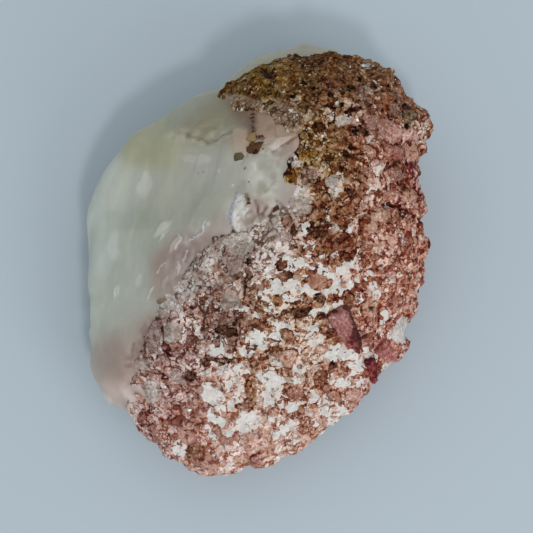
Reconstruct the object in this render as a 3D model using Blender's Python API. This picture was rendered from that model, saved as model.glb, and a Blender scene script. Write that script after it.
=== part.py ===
"""A rough stone of pink granular tourmaline grown on milky quartz.

Every surface is a distance from one centre inside the stone, given as a function of direction. The
quartz is a body of broken faces inside a measured rim. The tourmaline mass lies over its right and
front, from the contact with the quartz out to a lumpy, grainy skin, and reaches down to the base.
"""

import functools
import itertools

import bmesh
import bpy
import numpy as np
from mathutils import Matrix, Vector

MM = 0.001

# Driving dimensions, in millimetres
CENTRE = (0.0, -0.6, 10.0)  # the point that all the surfaces are measured from, above the origin
GAP = 0.35  # left between the two minerals' solids
EDGE_SHARPNESS = 12.0  # how tightly the faces meet: higher is a sharper edge
SPREAD = (24.0, 30.0, 14.0)  # half sizes of the ellipsoid that spaces the mesh evenly

# The quartz body's rim seen from above, anticlockwise from the right
RIM = [
    (23.9, 1.5), (22.8, 4.6), (23.8, 6.2), (23.4, 8.3), (22.2, 10.4), (21.9, 13.1), (23.1, 14.7),
    (22.9, 16.1), (24.1, 18.1), (24.0, 19.5), (22.3, 22.1), (20.5, 23.2), (19.5, 25.5), (16.0, 27.8),
    (11.8, 29.6), (6.2, 31.0), (1.2, 29.3), (-1.9, 26.7), (-5.4, 23.9), (-10.0, 22.1), (-14.9, 19.2),
    (-19.1, 16.4), (-22.4, 12.8), (-23.4, 7.9), (-23.9, 1.5), (-23.6, -6.0), (-22.9, -13.1),
    (-22.8, -18.0), (-20.0, -20.3), (-16.8, -22.4), (-14.9, -25.9), (-11.0, -28.5), (-5.6, -29.7),
    (1.2, -29.1), (4.7, -27.7), (10.1, -24.7), (15.0, -20.6), (17.7, -16.8), (19.6, -14.2),
    (20.6, -10.3), (21.7, -8.2), (22.4, -4.8), (23.1, -1.7),
]

# Broken faces: azimuth and elevation of the outward normal in degrees, distance from the centre
FACES = {
    "crown": (20.0, 80.0, 15.8),
    "front_slope": (-92.0, 66.0, 12.4),
    "back_slope": (86.0, 44.0, 22.8),
    "quartz_slope": (178.0, 54.0, 14.2),
    "quartz_back": (122.0, 38.0, 19.3),
    "right_slope": (2.0, 41.0, 19.9),
    "right_front_slope": (-42.0, 52.0, 15.2),
    "left_front_slope": (-142.0, 56.0, 15.8),
    "base": (0.0, -90.0, 10.9),
    "under_front": (-92.0, -38.0, 25.6),
    "under_right_front": (-45.0, -44.0, 19.4),
    "under_right": (0.0, -34.0, 21.6),
    "under_back": (80.0, -46.0, 26.0),
    "under_left_back": (135.0, -42.0, 19.3),
    "under_left": (184.0, -33.0, 22.4),
    "under_left_front": (-135.0, -40.0, 25.0),
}

# The edge of the tourmaline mass seen from above. From the front left the line runs up the top face,
# round the tongue of bare quartz, and along the back; its last points lie outside the stone.
CONTACT = [
    (-20.0, -27.0), (-18.2, -22.4), (-17.6, -19.0), (-16.4, -16.0), (-14.6, -11.7), (-12.8, -7.6),
    (-9.4, -3.9), (-7.7, -1.0), (-4.7, 1.4), (-1.5, 2.3), (1.7, 3.7), (5.0, 5.9), (5.7, 8.7),
    (4.1, 10.6), (6.1, 14.5), (6.3, 16.8), (4.0, 18.9), (-0.1, 20.6), (-2.9, 20.8), (-5.0, 21.9),
    (-2.6, 24.0), (-0.8, 25.2), (1.4, 25.9), (5.8, 26.4), (11.0, 27.0), (15.3, 25.9), (18.7, 23.4),
    (21.6, 20.4), (28.0, 20.0), (45.0, 10.0), (40.0, -40.0), (-10.0, -50.0), (-22.0, -34.0),
]

# The tourmaline mass, in millimetres
MASS_SLOPE = 0.95  # how fast it thickens inwards from its edge
MASS_DEEPEST = 0.62  # the most of the centre distance that it takes
MASS_PROUD = 1.0  # how far it stands above the quartz on top
RIM_PROUD = 0.2  # the same at the rim and below
BACK_PROUD = 1.9  # the same along the back, where it ends in a ledge
UNDER_RETREAT = 0.9  # how fast its edge draws in below the rim

# Larger tourmaline crystals: middle seen from above, azimuth of the long axis, length, width, and the
# share of the width that is sunk in the skin
CRYSTALS = {
    "long": ((12.0, -10.6), -56.0, 7.0, 3.4, 0.72),
    "edge": ((17.4, -13.4), -52.0, 4.6, 3.4, 0.75),
    "dark": ((15.6, -16.6), -75.0, 4.0, 2.4, 0.7),
}

QUARTZ = ("milky_quartz", (0.62, 0.66, 0.61), 0.28)
TOURMALINE = ("pink_tourmaline", (0.45, 0.22, 0.18), 0.6)


def unit_normal(azimuth, elevation):
    """The direction with this azimuth and elevation, in degrees."""
    a, e = np.radians(azimuth), np.radians(elevation)
    return np.array([np.cos(a) * np.cos(e), np.sin(a) * np.cos(e), np.sin(e)])


def lattice_random(cell, salt):
    """Three numbers from 0 to 1 for each whole-numbered cell, always the same for the same cell."""
    keys = (cell.astype(np.int64) * np.array([73856093, 19349663, 83492791])).sum(axis=1)
    mixed = (keys + salt * 40503).astype(np.uint64)
    out = np.empty((len(cell), 3))
    for axis in range(3):
        mixed = mixed * np.uint64(6364136223846793005) + np.uint64(1442695040888963407)
        out[:, axis] = (mixed >> np.uint64(40)).astype(float) / 2**24
    return out


def soft_noise(points, size, salt):
    """Smooth noise from -1 to 1 that changes over this size: lattice values, smoothly interpolated."""
    scaled = points / size
    low = np.floor(scaled).astype(np.int64)
    share = scaled - low
    share = share * share * (3 - 2 * share)
    total = np.zeros(len(points))
    for corner in itertools.product((0, 1), repeat=3):
        weight = np.prod(np.where(np.array(corner) == 1, share, 1 - share), axis=1)
        total += weight * lattice_random(low + corner, salt)[:, 0]
    return total * 2 - 1


def crystal_cells(points, size, salt):
    """Random flat-topped cells: each point takes the tilted plane of its nearest seed, in units of size."""
    scaled = points / size
    low = np.floor(scaled).astype(np.int64)
    nearest = np.full(len(points), 9.0)
    plane = np.zeros(len(points))
    for shift in itertools.product((-1, 0, 1), repeat=3):
        cell = low + np.array(shift)
        away = scaled - cell - lattice_random(cell, salt)
        distance = np.linalg.norm(away, axis=1)
        look = lattice_random(cell, salt + 7)
        tilted = (away * (look - 0.5)).sum(axis=1) * 1.6 + look[:, 0] - 0.5
        closer = distance < nearest
        nearest[closer] = distance[closer]
        plane[closer] = tilted[closer]
    return plane - 0.6 * nearest


def blended_radius(directions, azimuths, reach):
    """Distance to the faces and to a rim with this reach by azimuth: one power sum of their gauges."""
    x, y, _ = directions.T
    rim_reach = np.interp(np.arctan2(y, x), azimuths, reach, period=2 * np.pi)
    total = (np.hypot(x, y) / rim_reach) ** EDGE_SHARPNESS
    for azimuth, elevation, distance in FACES.values():
        facing = directions @ unit_normal(azimuth, elevation) / distance
        total += np.maximum(facing, 0) ** EDGE_SHARPNESS
    return total ** (-1 / EDGE_SHARPNESS)


@functools.cache
def fitted_rim():
    """Azimuths and reach of the rim, let out until the blended body reaches every point of RIM."""
    x, y = np.array(RIM).T
    azimuths, wanted = np.arctan2(y, x), np.hypot(x, y)
    tilts = np.radians(np.arange(-36, 37, 3))
    turns, tilts = np.meshgrid(azimuths, tilts)
    level = np.cos(tilts)
    directions = np.stack([np.cos(turns) * level, np.sin(turns) * level, np.sin(tilts)], axis=2)
    reach = wanted.copy()
    for _ in range(12):
        radius = blended_radius(directions.reshape(-1, 3), azimuths, reach).reshape(level.shape)
        reach *= wanted / (radius * level).max(axis=0)
    return azimuths, np.minimum(reach, 1.3 * wanted)


def body_radius(directions):
    """Distance to the quartz body's broken faces and rim."""
    return blended_radius(directions, *fitted_rim())


def inside_contact(points):
    """Signed distance seen from above to the contact line, positive on the tourmaline's side."""
    flat = points[:, :2]
    corners = np.array(CONTACT)
    nearest = np.full(len(points), np.inf)
    crossings = np.zeros(len(points), int)
    for start, end in zip(corners, np.roll(corners, -1, axis=0)):
        edge = end - start
        along = np.clip((flat - start) @ edge / (edge @ edge), 0, 1)
        nearest = np.minimum(nearest, np.linalg.norm(flat - start - along[:, None] * edge, axis=1))
        spans = (start[1] > flat[:, 1]) != (end[1] > flat[:, 1])
        meets = start[0] + (flat[:, 1] - start[1]) * edge[0] / (edge[1] or 1e-9)
        crossings += spans & (flat[:, 0] < meets)
    return np.where(crossings % 2 == 1, nearest, -nearest)


def contact_depth(points):
    """How far a point of the surface lies inside the tourmaline: less below the rim, with a ragged edge."""
    below = np.maximum(-points[:, 2], 0)
    ragged = 0.5 * soft_noise(points, 2.6, 11)
    return inside_contact(points) - UNDER_RETREAT * below + ragged


def quartz_radius(directions):
    """Distance to the quartz: its body, less what the tourmaline takes."""
    body = body_radius(directions)
    depth = contact_depth(directions * body[:, None])
    return body - np.clip(MASS_SLOPE * depth + 0.4, 0, MASS_DEEPEST * body)


def quartz_relief(points):
    """Height of the bare quartz's broad fracture waves and of its stepped ridges, which run fore and aft."""
    bare = np.clip(0.5 - contact_depth(points), 0, 1)
    turn = np.array([[0.94, -0.34, 0.0], [0.34, 0.94, 0.0], [0.0, 0.0, 1.0]])
    along = points @ turn.T / np.array([1.0, 2.6, 1.5])
    return bare * (0.6 * soft_noise(points, 9.0, 3) + 0.6 * crystal_cells(along, 4.2, 5))


def tourmaline_radius(directions):
    """Distance to the tourmaline's skin. Off its own side it dives below the quartz, where it is cut away."""
    body = body_radius(directions)
    points = directions * body[:, None]
    height = np.clip(points[:, 2] / 6, 0, 1)
    at_back = np.clip((points[:, 1] - 15) / 6, 0, 1)
    proud = RIM_PROUD + height * (MASS_PROUD - RIM_PROUD + at_back * (BACK_PROUD - MASS_PROUD))
    return body + np.clip(1.3 * contact_depth(points) + 0.2, -3.0, proud)


def tourmaline_relief(points):
    """Height of the tourmaline's lumps and grains, which fade out at its edge."""
    grown = np.clip(contact_depth(points) / 1.5, 0, 1)
    lumps = 0.6 * soft_noise(points, 6.5, 21) + 0.75 * crystal_cells(points, 3.4, 23)
    return grown * (lumps + 0.5 * crystal_cells(points, 1.9, 29))


def material(name, colour, roughness):
    """A plain finish for one mineral."""
    finish = bpy.data.materials.new(name)
    finish.use_nodes = True
    shader = finish.node_tree.nodes["Principled BSDF"]
    shader.inputs["Base Color"].default_value = (*colour, 1)
    shader.inputs["Roughness"].default_value = roughness
    shader.inputs["Metallic"].default_value = 0
    return finish


def add_object(name, mesh, helper=False):
    """A new object in the scene. A helper only cuts or joins, so it isn't rendered."""
    thing = bpy.data.objects.new(name, mesh)
    bpy.context.scene.collection.objects.link(thing)
    if helper:
        thing.hide_render = True
        thing.display_type = "WIRE"
    return thing


def coordinates(bm):
    return np.array([v.co for v in bm.verts])


def sphere_of_directions(subdivisions, finer=None):
    """A unit icosphere. Faces whose middles satisfy finer are divided once more."""
    bm = bmesh.new()
    bmesh.ops.create_icosphere(bm, subdivisions=subdivisions, radius=1)
    if finer:
        middles = np.array([f.calc_center_median() for f in bm.faces])
        chosen = [f for f, wanted in zip(list(bm.faces), finer(middles)) if wanted]
        edges = list({e for f in chosen for e in f.edges})
        bmesh.ops.subdivide_edges(bm, edges=edges, cuts=1, use_grid_fill=True)
        bmesh.ops.triangulate(bm, faces=bm.faces)
    return bm


def stone_mesh(name, bm, radius, relief, extra=0.0):
    """Moves each vertex of the unit sphere out to its radius, then along its normal by the relief."""
    directions = coordinates(bm) * SPREAD
    directions /= np.linalg.norm(directions, axis=1)[:, None]
    places = directions * radius(directions)[:, None]
    for vert, place in zip(bm.verts, places):
        vert.co = place
    bm.normal_update()
    normals = np.array([v.normal for v in bm.verts])
    places += normals * (relief(places) + extra)[:, None]
    for vert, place in zip(bm.verts, places):
        vert.co = (place + CENTRE) * MM
    mesh = bpy.data.meshes.new(name)
    bm.to_mesh(mesh)
    bm.free()
    return mesh


def cut_with(thing, helper, operation="DIFFERENCE"):
    """A Boolean of one object by another."""
    step = thing.modifiers.new(helper.name, "BOOLEAN")
    step.operation = operation
    step.object = helper
    step.solver = "EXACT"


def ground_block():
    """Everything below the base, so that both minerals end in one flat resting face."""
    bm = bmesh.new()
    bmesh.ops.create_cube(bm, size=1)
    bmesh.ops.scale(bm, vec=Vector((100, 100, 20)) * MM, verts=bm.verts)
    bmesh.ops.translate(bm, vec=Vector((0, 0, -10)) * MM, verts=bm.verts)
    mesh = bpy.data.meshes.new("ground_block")
    bm.to_mesh(mesh)
    bm.free()
    return add_object("ground_block", mesh, helper=True)


def skin_height(x, y):
    """Height above the centre of the tourmaline's skin over a point seen from above, by halving."""
    low, high = 0.0, 25.0
    for _ in range(30):
        z = (low + high) / 2
        point = np.array([[x, y, z]])
        length = np.linalg.norm(point)
        if length < tourmaline_radius(point / length)[0]:
            low = z
        else:
            high = z
    return low


def crystal(name, spot, azimuth, length, width, sunk):
    """A stubby six-sided prism with bevelled ends, lying along the skin and partly sunk in it."""
    x, y = spot
    step = 1.5
    rise_x = (skin_height(x + step, y) - skin_height(x - step, y)) / (2 * step)
    rise_y = (skin_height(x, y + step) - skin_height(x, y - step)) / (2 * step)
    normal = Vector((-rise_x, -rise_y, 1)).normalized()
    heading = Vector(unit_normal(azimuth, 0))
    axis = (heading - normal * heading.dot(normal)).normalized()
    turn = Matrix((axis.cross(normal), -normal, axis)).transposed()
    bm = bmesh.new()
    bmesh.ops.create_cone(
        bm, cap_ends=True, segments=6, radius1=width / 2, radius2=width / 2, depth=length
    )
    ends = [e for e in bm.edges if abs(e.verts[0].co.z - e.verts[1].co.z) < 1e-6]
    bmesh.ops.bevel(bm, geom=ends, offset=0.2 * width, segments=1, affect="EDGES")
    middle = Vector((x, y, skin_height(x, y))) + Vector(CENTRE)
    place = Matrix.Translation(middle + normal * (0.5 - sunk) * width)
    bmesh.ops.transform(bm, matrix=Matrix.Scale(MM, 4) @ place @ turn.to_4x4(), verts=bm.verts)
    bmesh.ops.recalc_face_normals(bm, faces=bm.faces)
    mesh = bpy.data.meshes.new(name)
    bm.to_mesh(mesh)
    bm.free()
    return add_object(name, mesh, helper=True)


def keep_largest_body(thing):
    """Applies the modifiers and drops loose crumbs that the cuts left."""
    graph = bpy.context.evaluated_depsgraph_get()
    mesh = bpy.data.meshes.new_from_object(thing.evaluated_get(graph))
    thing.modifiers.clear()
    bm = bmesh.new()
    bm.from_mesh(mesh)
    unseen = set(bm.verts)
    bodies = []
    while unseen:
        front = [unseen.pop()]
        body = list(front)
        while front:
            near = {e.other_vert(v) for v in front for e in v.link_edges} & unseen
            unseen -= near
            front = list(near)
            body += front
        bodies.append(body)
    largest = max(bodies, key=len)
    crumbs = [v for body in bodies if body is not largest for v in body]
    bmesh.ops.delete(bm, geom=crumbs, context="VERTS")
    bm.to_mesh(mesh)
    bm.free()
    thing.data = mesh


def depth_on_sphere(unit_points):
    """How far inside the tourmaline each point of the unit sphere ends up."""
    directions = unit_points * SPREAD
    directions /= np.linalg.norm(directions, axis=1)[:, None]
    return contact_depth(directions * body_radius(directions)[:, None])


def is_bare(unit_points):
    """Whether quartz shows there, but for the underside."""
    return (unit_points[:, 2] > -0.3) & (depth_on_sphere(unit_points) < 0.8)


def is_upper_mass(unit_points):
    """Whether that is the tourmaline's upper side."""
    return (unit_points[:, 2] > 0.47) & (depth_on_sphere(unit_points) > 0)


def build():
    """The two minerals, cut from their forms."""
    ground = ground_block()

    quartz_sphere = sphere_of_directions(4, finer=is_bare)
    quartz_mesh = stone_mesh(QUARTZ[0], quartz_sphere, quartz_radius, quartz_relief)
    quartz = add_object(QUARTZ[0], quartz_mesh)
    quartz_mesh.materials.append(material(*QUARTZ))
    cut_with(quartz, ground)

    socket_sphere = sphere_of_directions(4, finer=is_bare)
    socket_mesh = stone_mesh("socket", socket_sphere, quartz_radius, quartz_relief, extra=GAP)
    socket = add_object("socket", socket_mesh, helper=True)

    mass_sphere = sphere_of_directions(5, finer=is_upper_mass)
    mass_mesh = stone_mesh(TOURMALINE[0], mass_sphere, tourmaline_radius, tourmaline_relief)
    mass = add_object(TOURMALINE[0], mass_mesh)
    mass_mesh.materials.append(material(*TOURMALINE))
    for name, shape in CRYSTALS.items():
        cut_with(mass, crystal(f"crystal_{name}", *shape), "UNION")
    cut_with(mass, socket)
    cut_with(mass, ground)
    for thing in (quartz, mass):
        keep_largest_body(thing)


for old in list(bpy.data.objects):
    bpy.data.objects.remove(old)
build()
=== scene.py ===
import itertools
import math

import bmesh
import bpy
import numpy as np
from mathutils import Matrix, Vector


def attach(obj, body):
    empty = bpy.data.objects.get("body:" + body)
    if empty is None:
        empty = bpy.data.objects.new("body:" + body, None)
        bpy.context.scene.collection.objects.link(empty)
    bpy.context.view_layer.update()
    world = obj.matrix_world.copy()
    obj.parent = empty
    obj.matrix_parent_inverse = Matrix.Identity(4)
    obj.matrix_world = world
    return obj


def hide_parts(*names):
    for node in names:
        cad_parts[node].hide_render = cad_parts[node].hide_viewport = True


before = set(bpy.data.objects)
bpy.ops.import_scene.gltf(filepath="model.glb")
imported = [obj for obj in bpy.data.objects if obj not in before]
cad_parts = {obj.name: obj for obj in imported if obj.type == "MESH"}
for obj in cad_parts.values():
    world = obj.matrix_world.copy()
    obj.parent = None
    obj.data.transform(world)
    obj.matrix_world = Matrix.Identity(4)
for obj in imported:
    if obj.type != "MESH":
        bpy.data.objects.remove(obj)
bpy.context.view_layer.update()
mm = 0.001

# The stone's form, the same as the solids', in millimetres from a centre inside the stone
form = {
    "centre": np.array([0.0, -0.6, 10.0]),
    "edgeSharpness": 12.0,
    "spread": np.array([24.0, 30.0, 14.0]),  # half sizes of the ellipsoid that spaces the meshes evenly
    "rim": np.array([
        (23.9, 1.5), (22.8, 4.6), (23.8, 6.2), (23.4, 8.3), (22.2, 10.4), (21.9, 13.1), (23.1, 14.7),
        (22.9, 16.1), (24.1, 18.1), (24.0, 19.5), (22.3, 22.1), (20.5, 23.2), (19.5, 25.5), (16.0, 27.8),
        (11.8, 29.6), (6.2, 31.0), (1.2, 29.3), (-1.9, 26.7), (-5.4, 23.9), (-10.0, 22.1), (-14.9, 19.2),
        (-19.1, 16.4), (-22.4, 12.8), (-23.4, 7.9), (-23.9, 1.5), (-23.6, -6.0), (-22.9, -13.1),
        (-22.8, -18.0), (-20.0, -20.3), (-16.8, -22.4), (-14.9, -25.9), (-11.0, -28.5), (-5.6, -29.7),
        (1.2, -29.1), (4.7, -27.7), (10.1, -24.7), (15.0, -20.6), (17.7, -16.8), (19.6, -14.2),
        (20.6, -10.3), (21.7, -8.2), (22.4, -4.8), (23.1, -1.7),
    ]),
    # azimuth and elevation of each broken face's outward normal, and its distance from the centre
    "faces": {
        "crown": (20.0, 80.0, 15.8),
        "frontSlope": (-92.0, 66.0, 12.4),
        "backSlope": (86.0, 44.0, 22.8),
        "quartzSlope": (178.0, 54.0, 14.2),
        "quartzBack": (122.0, 38.0, 19.3),
        "rightSlope": (2.0, 41.0, 19.9),
        "rightFrontSlope": (-42.0, 52.0, 15.2),
        "leftFrontSlope": (-142.0, 56.0, 15.8),
        "base": (0.0, -90.0, 10.9),
        "underFront": (-92.0, -38.0, 25.6),
        "underRightFront": (-45.0, -44.0, 19.4),
        "underRight": (0.0, -34.0, 21.6),
        "underBack": (80.0, -46.0, 26.0),
        "underLeftBack": (135.0, -42.0, 19.3),
        "underLeft": (184.0, -33.0, 22.4),
        "underLeftFront": (-135.0, -40.0, 25.0),
    },
    # the edge of the tourmaline as seen; the last points lie outside the stone
    "contact": np.array([
        (-20.0, -27.0), (-18.2, -22.4), (-17.6, -19.0), (-16.4, -16.0), (-14.6, -11.7), (-12.8, -7.6),
        (-9.4, -3.9), (-7.7, -1.0), (-4.7, 1.4), (-1.5, 2.3), (1.7, 3.7), (5.0, 5.9), (5.7, 8.7),
        (4.1, 10.6), (6.1, 14.5), (6.3, 16.8), (4.0, 18.9), (-0.1, 20.6), (-2.9, 20.8), (-5.0, 21.9),
        (-2.6, 24.0), (-0.8, 25.2), (1.4, 25.9), (5.8, 26.4), (11.0, 27.0), (15.3, 25.9), (18.7, 23.4),
        (21.6, 20.4), (28.0, 20.0), (45.0, 10.0), (40.0, -40.0), (-10.0, -50.0), (-22.0, -34.0),
    ]),
    "massProud": 1.0,
    "rimProud": 0.2,
    "backProud": 1.9,
    "underRetreat": 0.9,
    "contactNoise": ((0.5, 2.6, 11), (0.35, 0.9, 12)),  # heights, sizes and salts, as for all noises below
}


# the eye, in millimetres; "as seen" below means that places are given where lines from this eye meet a
# level plane in the stone
view = {
    "elevation": 83.0,
    "distance": 220.0,
    "target": (1.45, -2.2, 11.0),
    "mmPerPixel": 0.138,
    "pixels": 533,
    "markLevel": 6.0,  # height of that plane over the form's centre
}


def eyePlace():
    # from the form's centre
    e = math.radians(view["elevation"])
    back = np.array([0, -math.cos(e), math.sin(e)])
    return np.array(view["target"]) + back * view["distance"] - form["centre"]


def seenPlace(points):
    # where the lines from the eye through the points cross the plane of the marks
    eye = eyePlace()
    share = (eye[2] - view["markLevel"]) / (eye[2] - points[:, 2])
    return eye[:2] + (points[:, :2] - eye[:2]) * share[:, None]


def lengths(vectors):
    return np.linalg.norm(vectors, axis=1)


def latticeRandom(cell, salt):
    # three numbers from 0 to 1 for each whole-numbered cell: the cell's key stirred by a linear
    # generator, as the solids' lumps are; details, with a salt of 40 or more, are shuffled first
    keys = (cell.astype(np.int64) * (73856093, 19349663, 83492791)).sum(axis=1)
    stirred = (keys + salt * 40503).astype(np.uint64)
    if salt >= 40:
        stirred = (stirred ^ (stirred >> np.uint64(30))) * np.uint64(13787848793156543929)
        stirred = (stirred ^ (stirred >> np.uint64(27))) * np.uint64(10723151780598845931)
        stirred = stirred ^ (stirred >> np.uint64(31))
    out = np.empty((len(cell), 3))
    for axis in range(3):
        stirred = stirred * np.uint64(6364136223846793005) + np.uint64(1442695040888963407)
        out[:, axis] = (stirred >> np.uint64(40)).astype(float) / 2**24
    return out


def softNoise(points, size, salt):
    # from -1 to 1: lattice values joined by the curve 3s^2 - 2s^3
    scaled = points / size
    low = np.floor(scaled).astype(np.int64)
    share = scaled - low
    share = share * share * (3 - 2 * share)
    total = np.zeros(len(points))
    for corner in itertools.product((0, 1), repeat=3):
        weight = np.prod(np.where(np.array(corner) == 1, share, 1 - share), axis=1)
        total += weight * latticeRandom(low + corner, salt)[:, 0]
    return total * 2 - 1


def noises(points, *layers):
    # soft noises added up, each given by its height, size and salt
    return sum(height * softNoise(points, size, salt) for height, size, salt in layers)


def layeredNoise(points, size, salt, layers=4):
    # softNoise at halving sizes and heights
    return sum(softNoise(points, size / 2**k, salt + k) / 2**k for k in range(layers)) / 1.6


def crystalCells(points, size, salt, blend=None):
    # each point takes the tilted plane of its nearest seed; blend joins the planes by weights exp(-blend d)
    scaled = points / size
    low = np.floor(scaled).astype(np.int64)
    nearest = np.full(len(points), 9.0)
    plane = np.zeros(len(points))
    blended = np.zeros(len(points))
    weights = np.zeros(len(points))
    for shift in itertools.product((-1, 0, 1), repeat=3):
        cell = low + shift
        away = scaled - cell - latticeRandom(cell, salt)
        distance = lengths(away)
        look = latticeRandom(cell, salt + 7)
        tilted = (away * (look - 0.5)).sum(axis=1) * 1.6 + look[:, 0] - 0.5 - 0.6 * distance
        if blend:
            weight = np.exp(-blend * distance)
            blended += weight * tilted
            weights += weight
        closer = distance < nearest
        nearest[closer] = distance[closer]
        plane[closer] = tilted[closer]
    return blended / weights if blend else plane


def nearestGrain(points, size, salt):
    # the nearest seed of a lattice with one random seed to a cell: its cell, its place, six random
    # numbers, the distance to it and half the difference to the second nearest, which is 0 at an edge
    scaled = points / size
    low = np.floor(scaled).astype(np.int64)
    first = np.full(len(points), 9.0)
    second = np.full(len(points), 9.0)
    seed = np.zeros_like(points)
    owner = np.zeros_like(low)
    for shift in itertools.product((-1, 0, 1), repeat=3):
        cell = low + shift
        there = cell + latticeRandom(cell, salt)
        distance = lengths(scaled - there)
        closer = distance < first
        second = np.where(closer, first, np.minimum(second, distance))
        first = np.where(closer, distance, first)
        seed[closer] = there[closer]
        owner[closer] = cell[closer]
    look = np.concatenate([latticeRandom(owner, salt + 3), latticeRandom(owner, salt + 5)], axis=1)
    return {
        "owner": owner, "seed": seed * size, "look": look, "size": np.full(len(points), size),
        "away": first * size, "edge": (second - first) * size / 2,
    }


def unitNormal(azimuth, elevation):
    a, e = math.radians(azimuth), math.radians(elevation)
    return np.array([math.cos(a) * math.cos(e), math.sin(a) * math.cos(e), math.sin(e)])


def blendedRadius(directions, azimuths, reach):
    # r = (sum of max(0, n.d / h)^s)^(-1/s) over the faces and the rim
    x, y, _ = directions.T
    sharpness = form["edgeSharpness"]
    rimReach = np.interp(np.arctan2(y, x), azimuths, reach, period=2 * np.pi)
    total = (np.hypot(x, y) / rimReach) ** sharpness
    for azimuth, elevation, distance in form["faces"].values():
        total += np.maximum(directions @ unitNormal(azimuth, elevation) / distance, 0) ** sharpness
    return total ** (-1 / sharpness)


def fittedRim():
    # the rim's reach by azimuth, let out until the blended body reaches every point of the rim
    x, y = form["rim"].T
    azimuths, wanted = np.arctan2(y, x), np.hypot(x, y)
    turns, tilts = np.meshgrid(azimuths, np.radians(np.arange(-36, 37, 3)))
    level = np.cos(tilts)
    directions = np.stack([np.cos(turns) * level, np.sin(turns) * level, np.sin(tilts)], axis=2)
    reach = wanted.copy()
    for _ in range(12):
        radius = blendedRadius(directions.reshape(-1, 3), azimuths, reach).reshape(level.shape)
        reach *= wanted / (radius * level).max(axis=0)
    return azimuths, np.minimum(reach, 1.3 * wanted)


rimAzimuths, rimReaches = fittedRim()


def bodyRadius(directions):
    return blendedRadius(directions, rimAzimuths, rimReaches)


def lineDistance(flat, start, edge):
    # distance on a plane to the line that runs from start along edge
    along = np.clip((flat - start) @ edge / (edge @ edge), 0, 1)
    return lengths(flat - start - along[:, None] * edge)


def insideOutline(flat, corners):
    # signed distance on a plane to a closed line through the corners, positive inside it
    nearest = np.full(len(flat), np.inf)
    crossings = np.zeros(len(flat), int)
    for start, end in zip(corners, np.roll(corners, -1, axis=0)):
        edge = end - start
        nearest = np.minimum(nearest, lineDistance(flat, start, edge))
        spans = (start[1] > flat[:, 1]) != (end[1] > flat[:, 1])
        meets = start[0] + (flat[:, 1] - start[1]) * edge[0] / (edge[1] or 1e-9)
        crossings += spans & (flat[:, 0] < meets)
    return np.where(crossings % 2 == 1, nearest, -nearest)


def contactDepth(points):
    # how far a point of the surface lies inside the tourmaline: less below the rim, ragged at the edge
    below = np.maximum(-points[:, 2], 0)
    ragged = noises(points, *form["contactNoise"])
    raised = np.maximum(points, (-np.inf, -np.inf, view["markLevel"]))
    return insideOutline(seenPlace(raised), form["contact"]) - form["underRetreat"] * below + ragged


def smoothStep(values, low, high):
    # 0 below low and 1 above high, along 3s^2 - 2s^3
    share = np.clip((values - low) / (high - low), 0, 1)
    return share * share * (3 - 2 * share)


def linear(colour):
    # an sRGB colour from 0 to 255 as linear light
    return (np.array(colour) / 255.0) ** 2.2


def blendZones(points, zones):
    # the zones' colours, weighed by exp(-d^2 / 2 reach^2) as seen
    flat = seenPlace(points)
    total = np.zeros((len(points), 3))
    weights = np.full(len(points), 1e-9)
    for x, y, reach, colour in zones:
        away = (flat[:, 0] - x) ** 2 + (flat[:, 1] - y) ** 2
        weight = np.exp(-away / (2 * reach**2)) + 1e-4 / (1 + away)
        total += weight[:, None] * linear(colour)
        weights += weight
    return total / weights[:, None]


def patchField(points, patches):
    # the highest of each patch's 1 - (along / half length)^2 - (across / half width)^2, as seen
    flat = seenPlace(points)
    best = np.full(len(points), -3.0)
    for x, y, halfLength, halfWidth, azimuth in patches:
        a = math.radians(azimuth)
        away = flat - (x, y)
        along = away @ (math.cos(a), math.sin(a)) / halfLength
        across = away @ (-math.sin(a), math.cos(a)) / halfWidth
        best = np.maximum(best, 1 - along**2 - across**2)
    return np.where(points[:, 2] > -4, best, -3.0)


def nearLines(points, lines):
    # the largest exp(-(distance / width)^2) over the lines, as seen, and that times the height
    jitter = np.stack([softNoise(points, 0.9, 51), softNoise(points, 0.9, 52)], axis=1)
    flat = seenPlace(points) + 0.3 * jitter
    thinning = np.clip(1.2 + 1.1 * softNoise(points, 0.55, 54), 0.6, 3.0)
    mark = np.zeros(len(points))
    rise = np.zeros(len(points))
    for x0, y0, x1, y1, width, height in lines:
        away = lineDistance(flat, np.array([x0, y0]), np.array([x1 - x0, y1 - y0]))
        near = np.exp(-((away * thinning / width) ** 2)) * (points[:, 2] > 0)
        mark = np.maximum(mark, near)
        rise = np.maximum(rise, near * height)
    return mark, rise


def mixed(first, second, share):
    # share of the way from the first colour to the second at each point
    return first + (second - first) * share[:, None]


def spotReach(points, ragged, spot):
    # which points lie in a spot, an ellipse with a ragged edge as seen, and how far out each of them
    # lies, from 0 in its middle to 1 at its edge
    x, y, halfLength, halfWidth = spot[:4]
    near = lengths(seenPlace(points) - (x, y)) < 1.3 * max(halfLength, halfWidth)
    near = np.flatnonzero(near)
    reach = np.sqrt(np.maximum(1 - patchField(points[near], [spot[:5]]), 0)) * (1 + ragged[near])
    return near[reach < 1], reach[reach < 1]


print("form ready")

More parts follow.
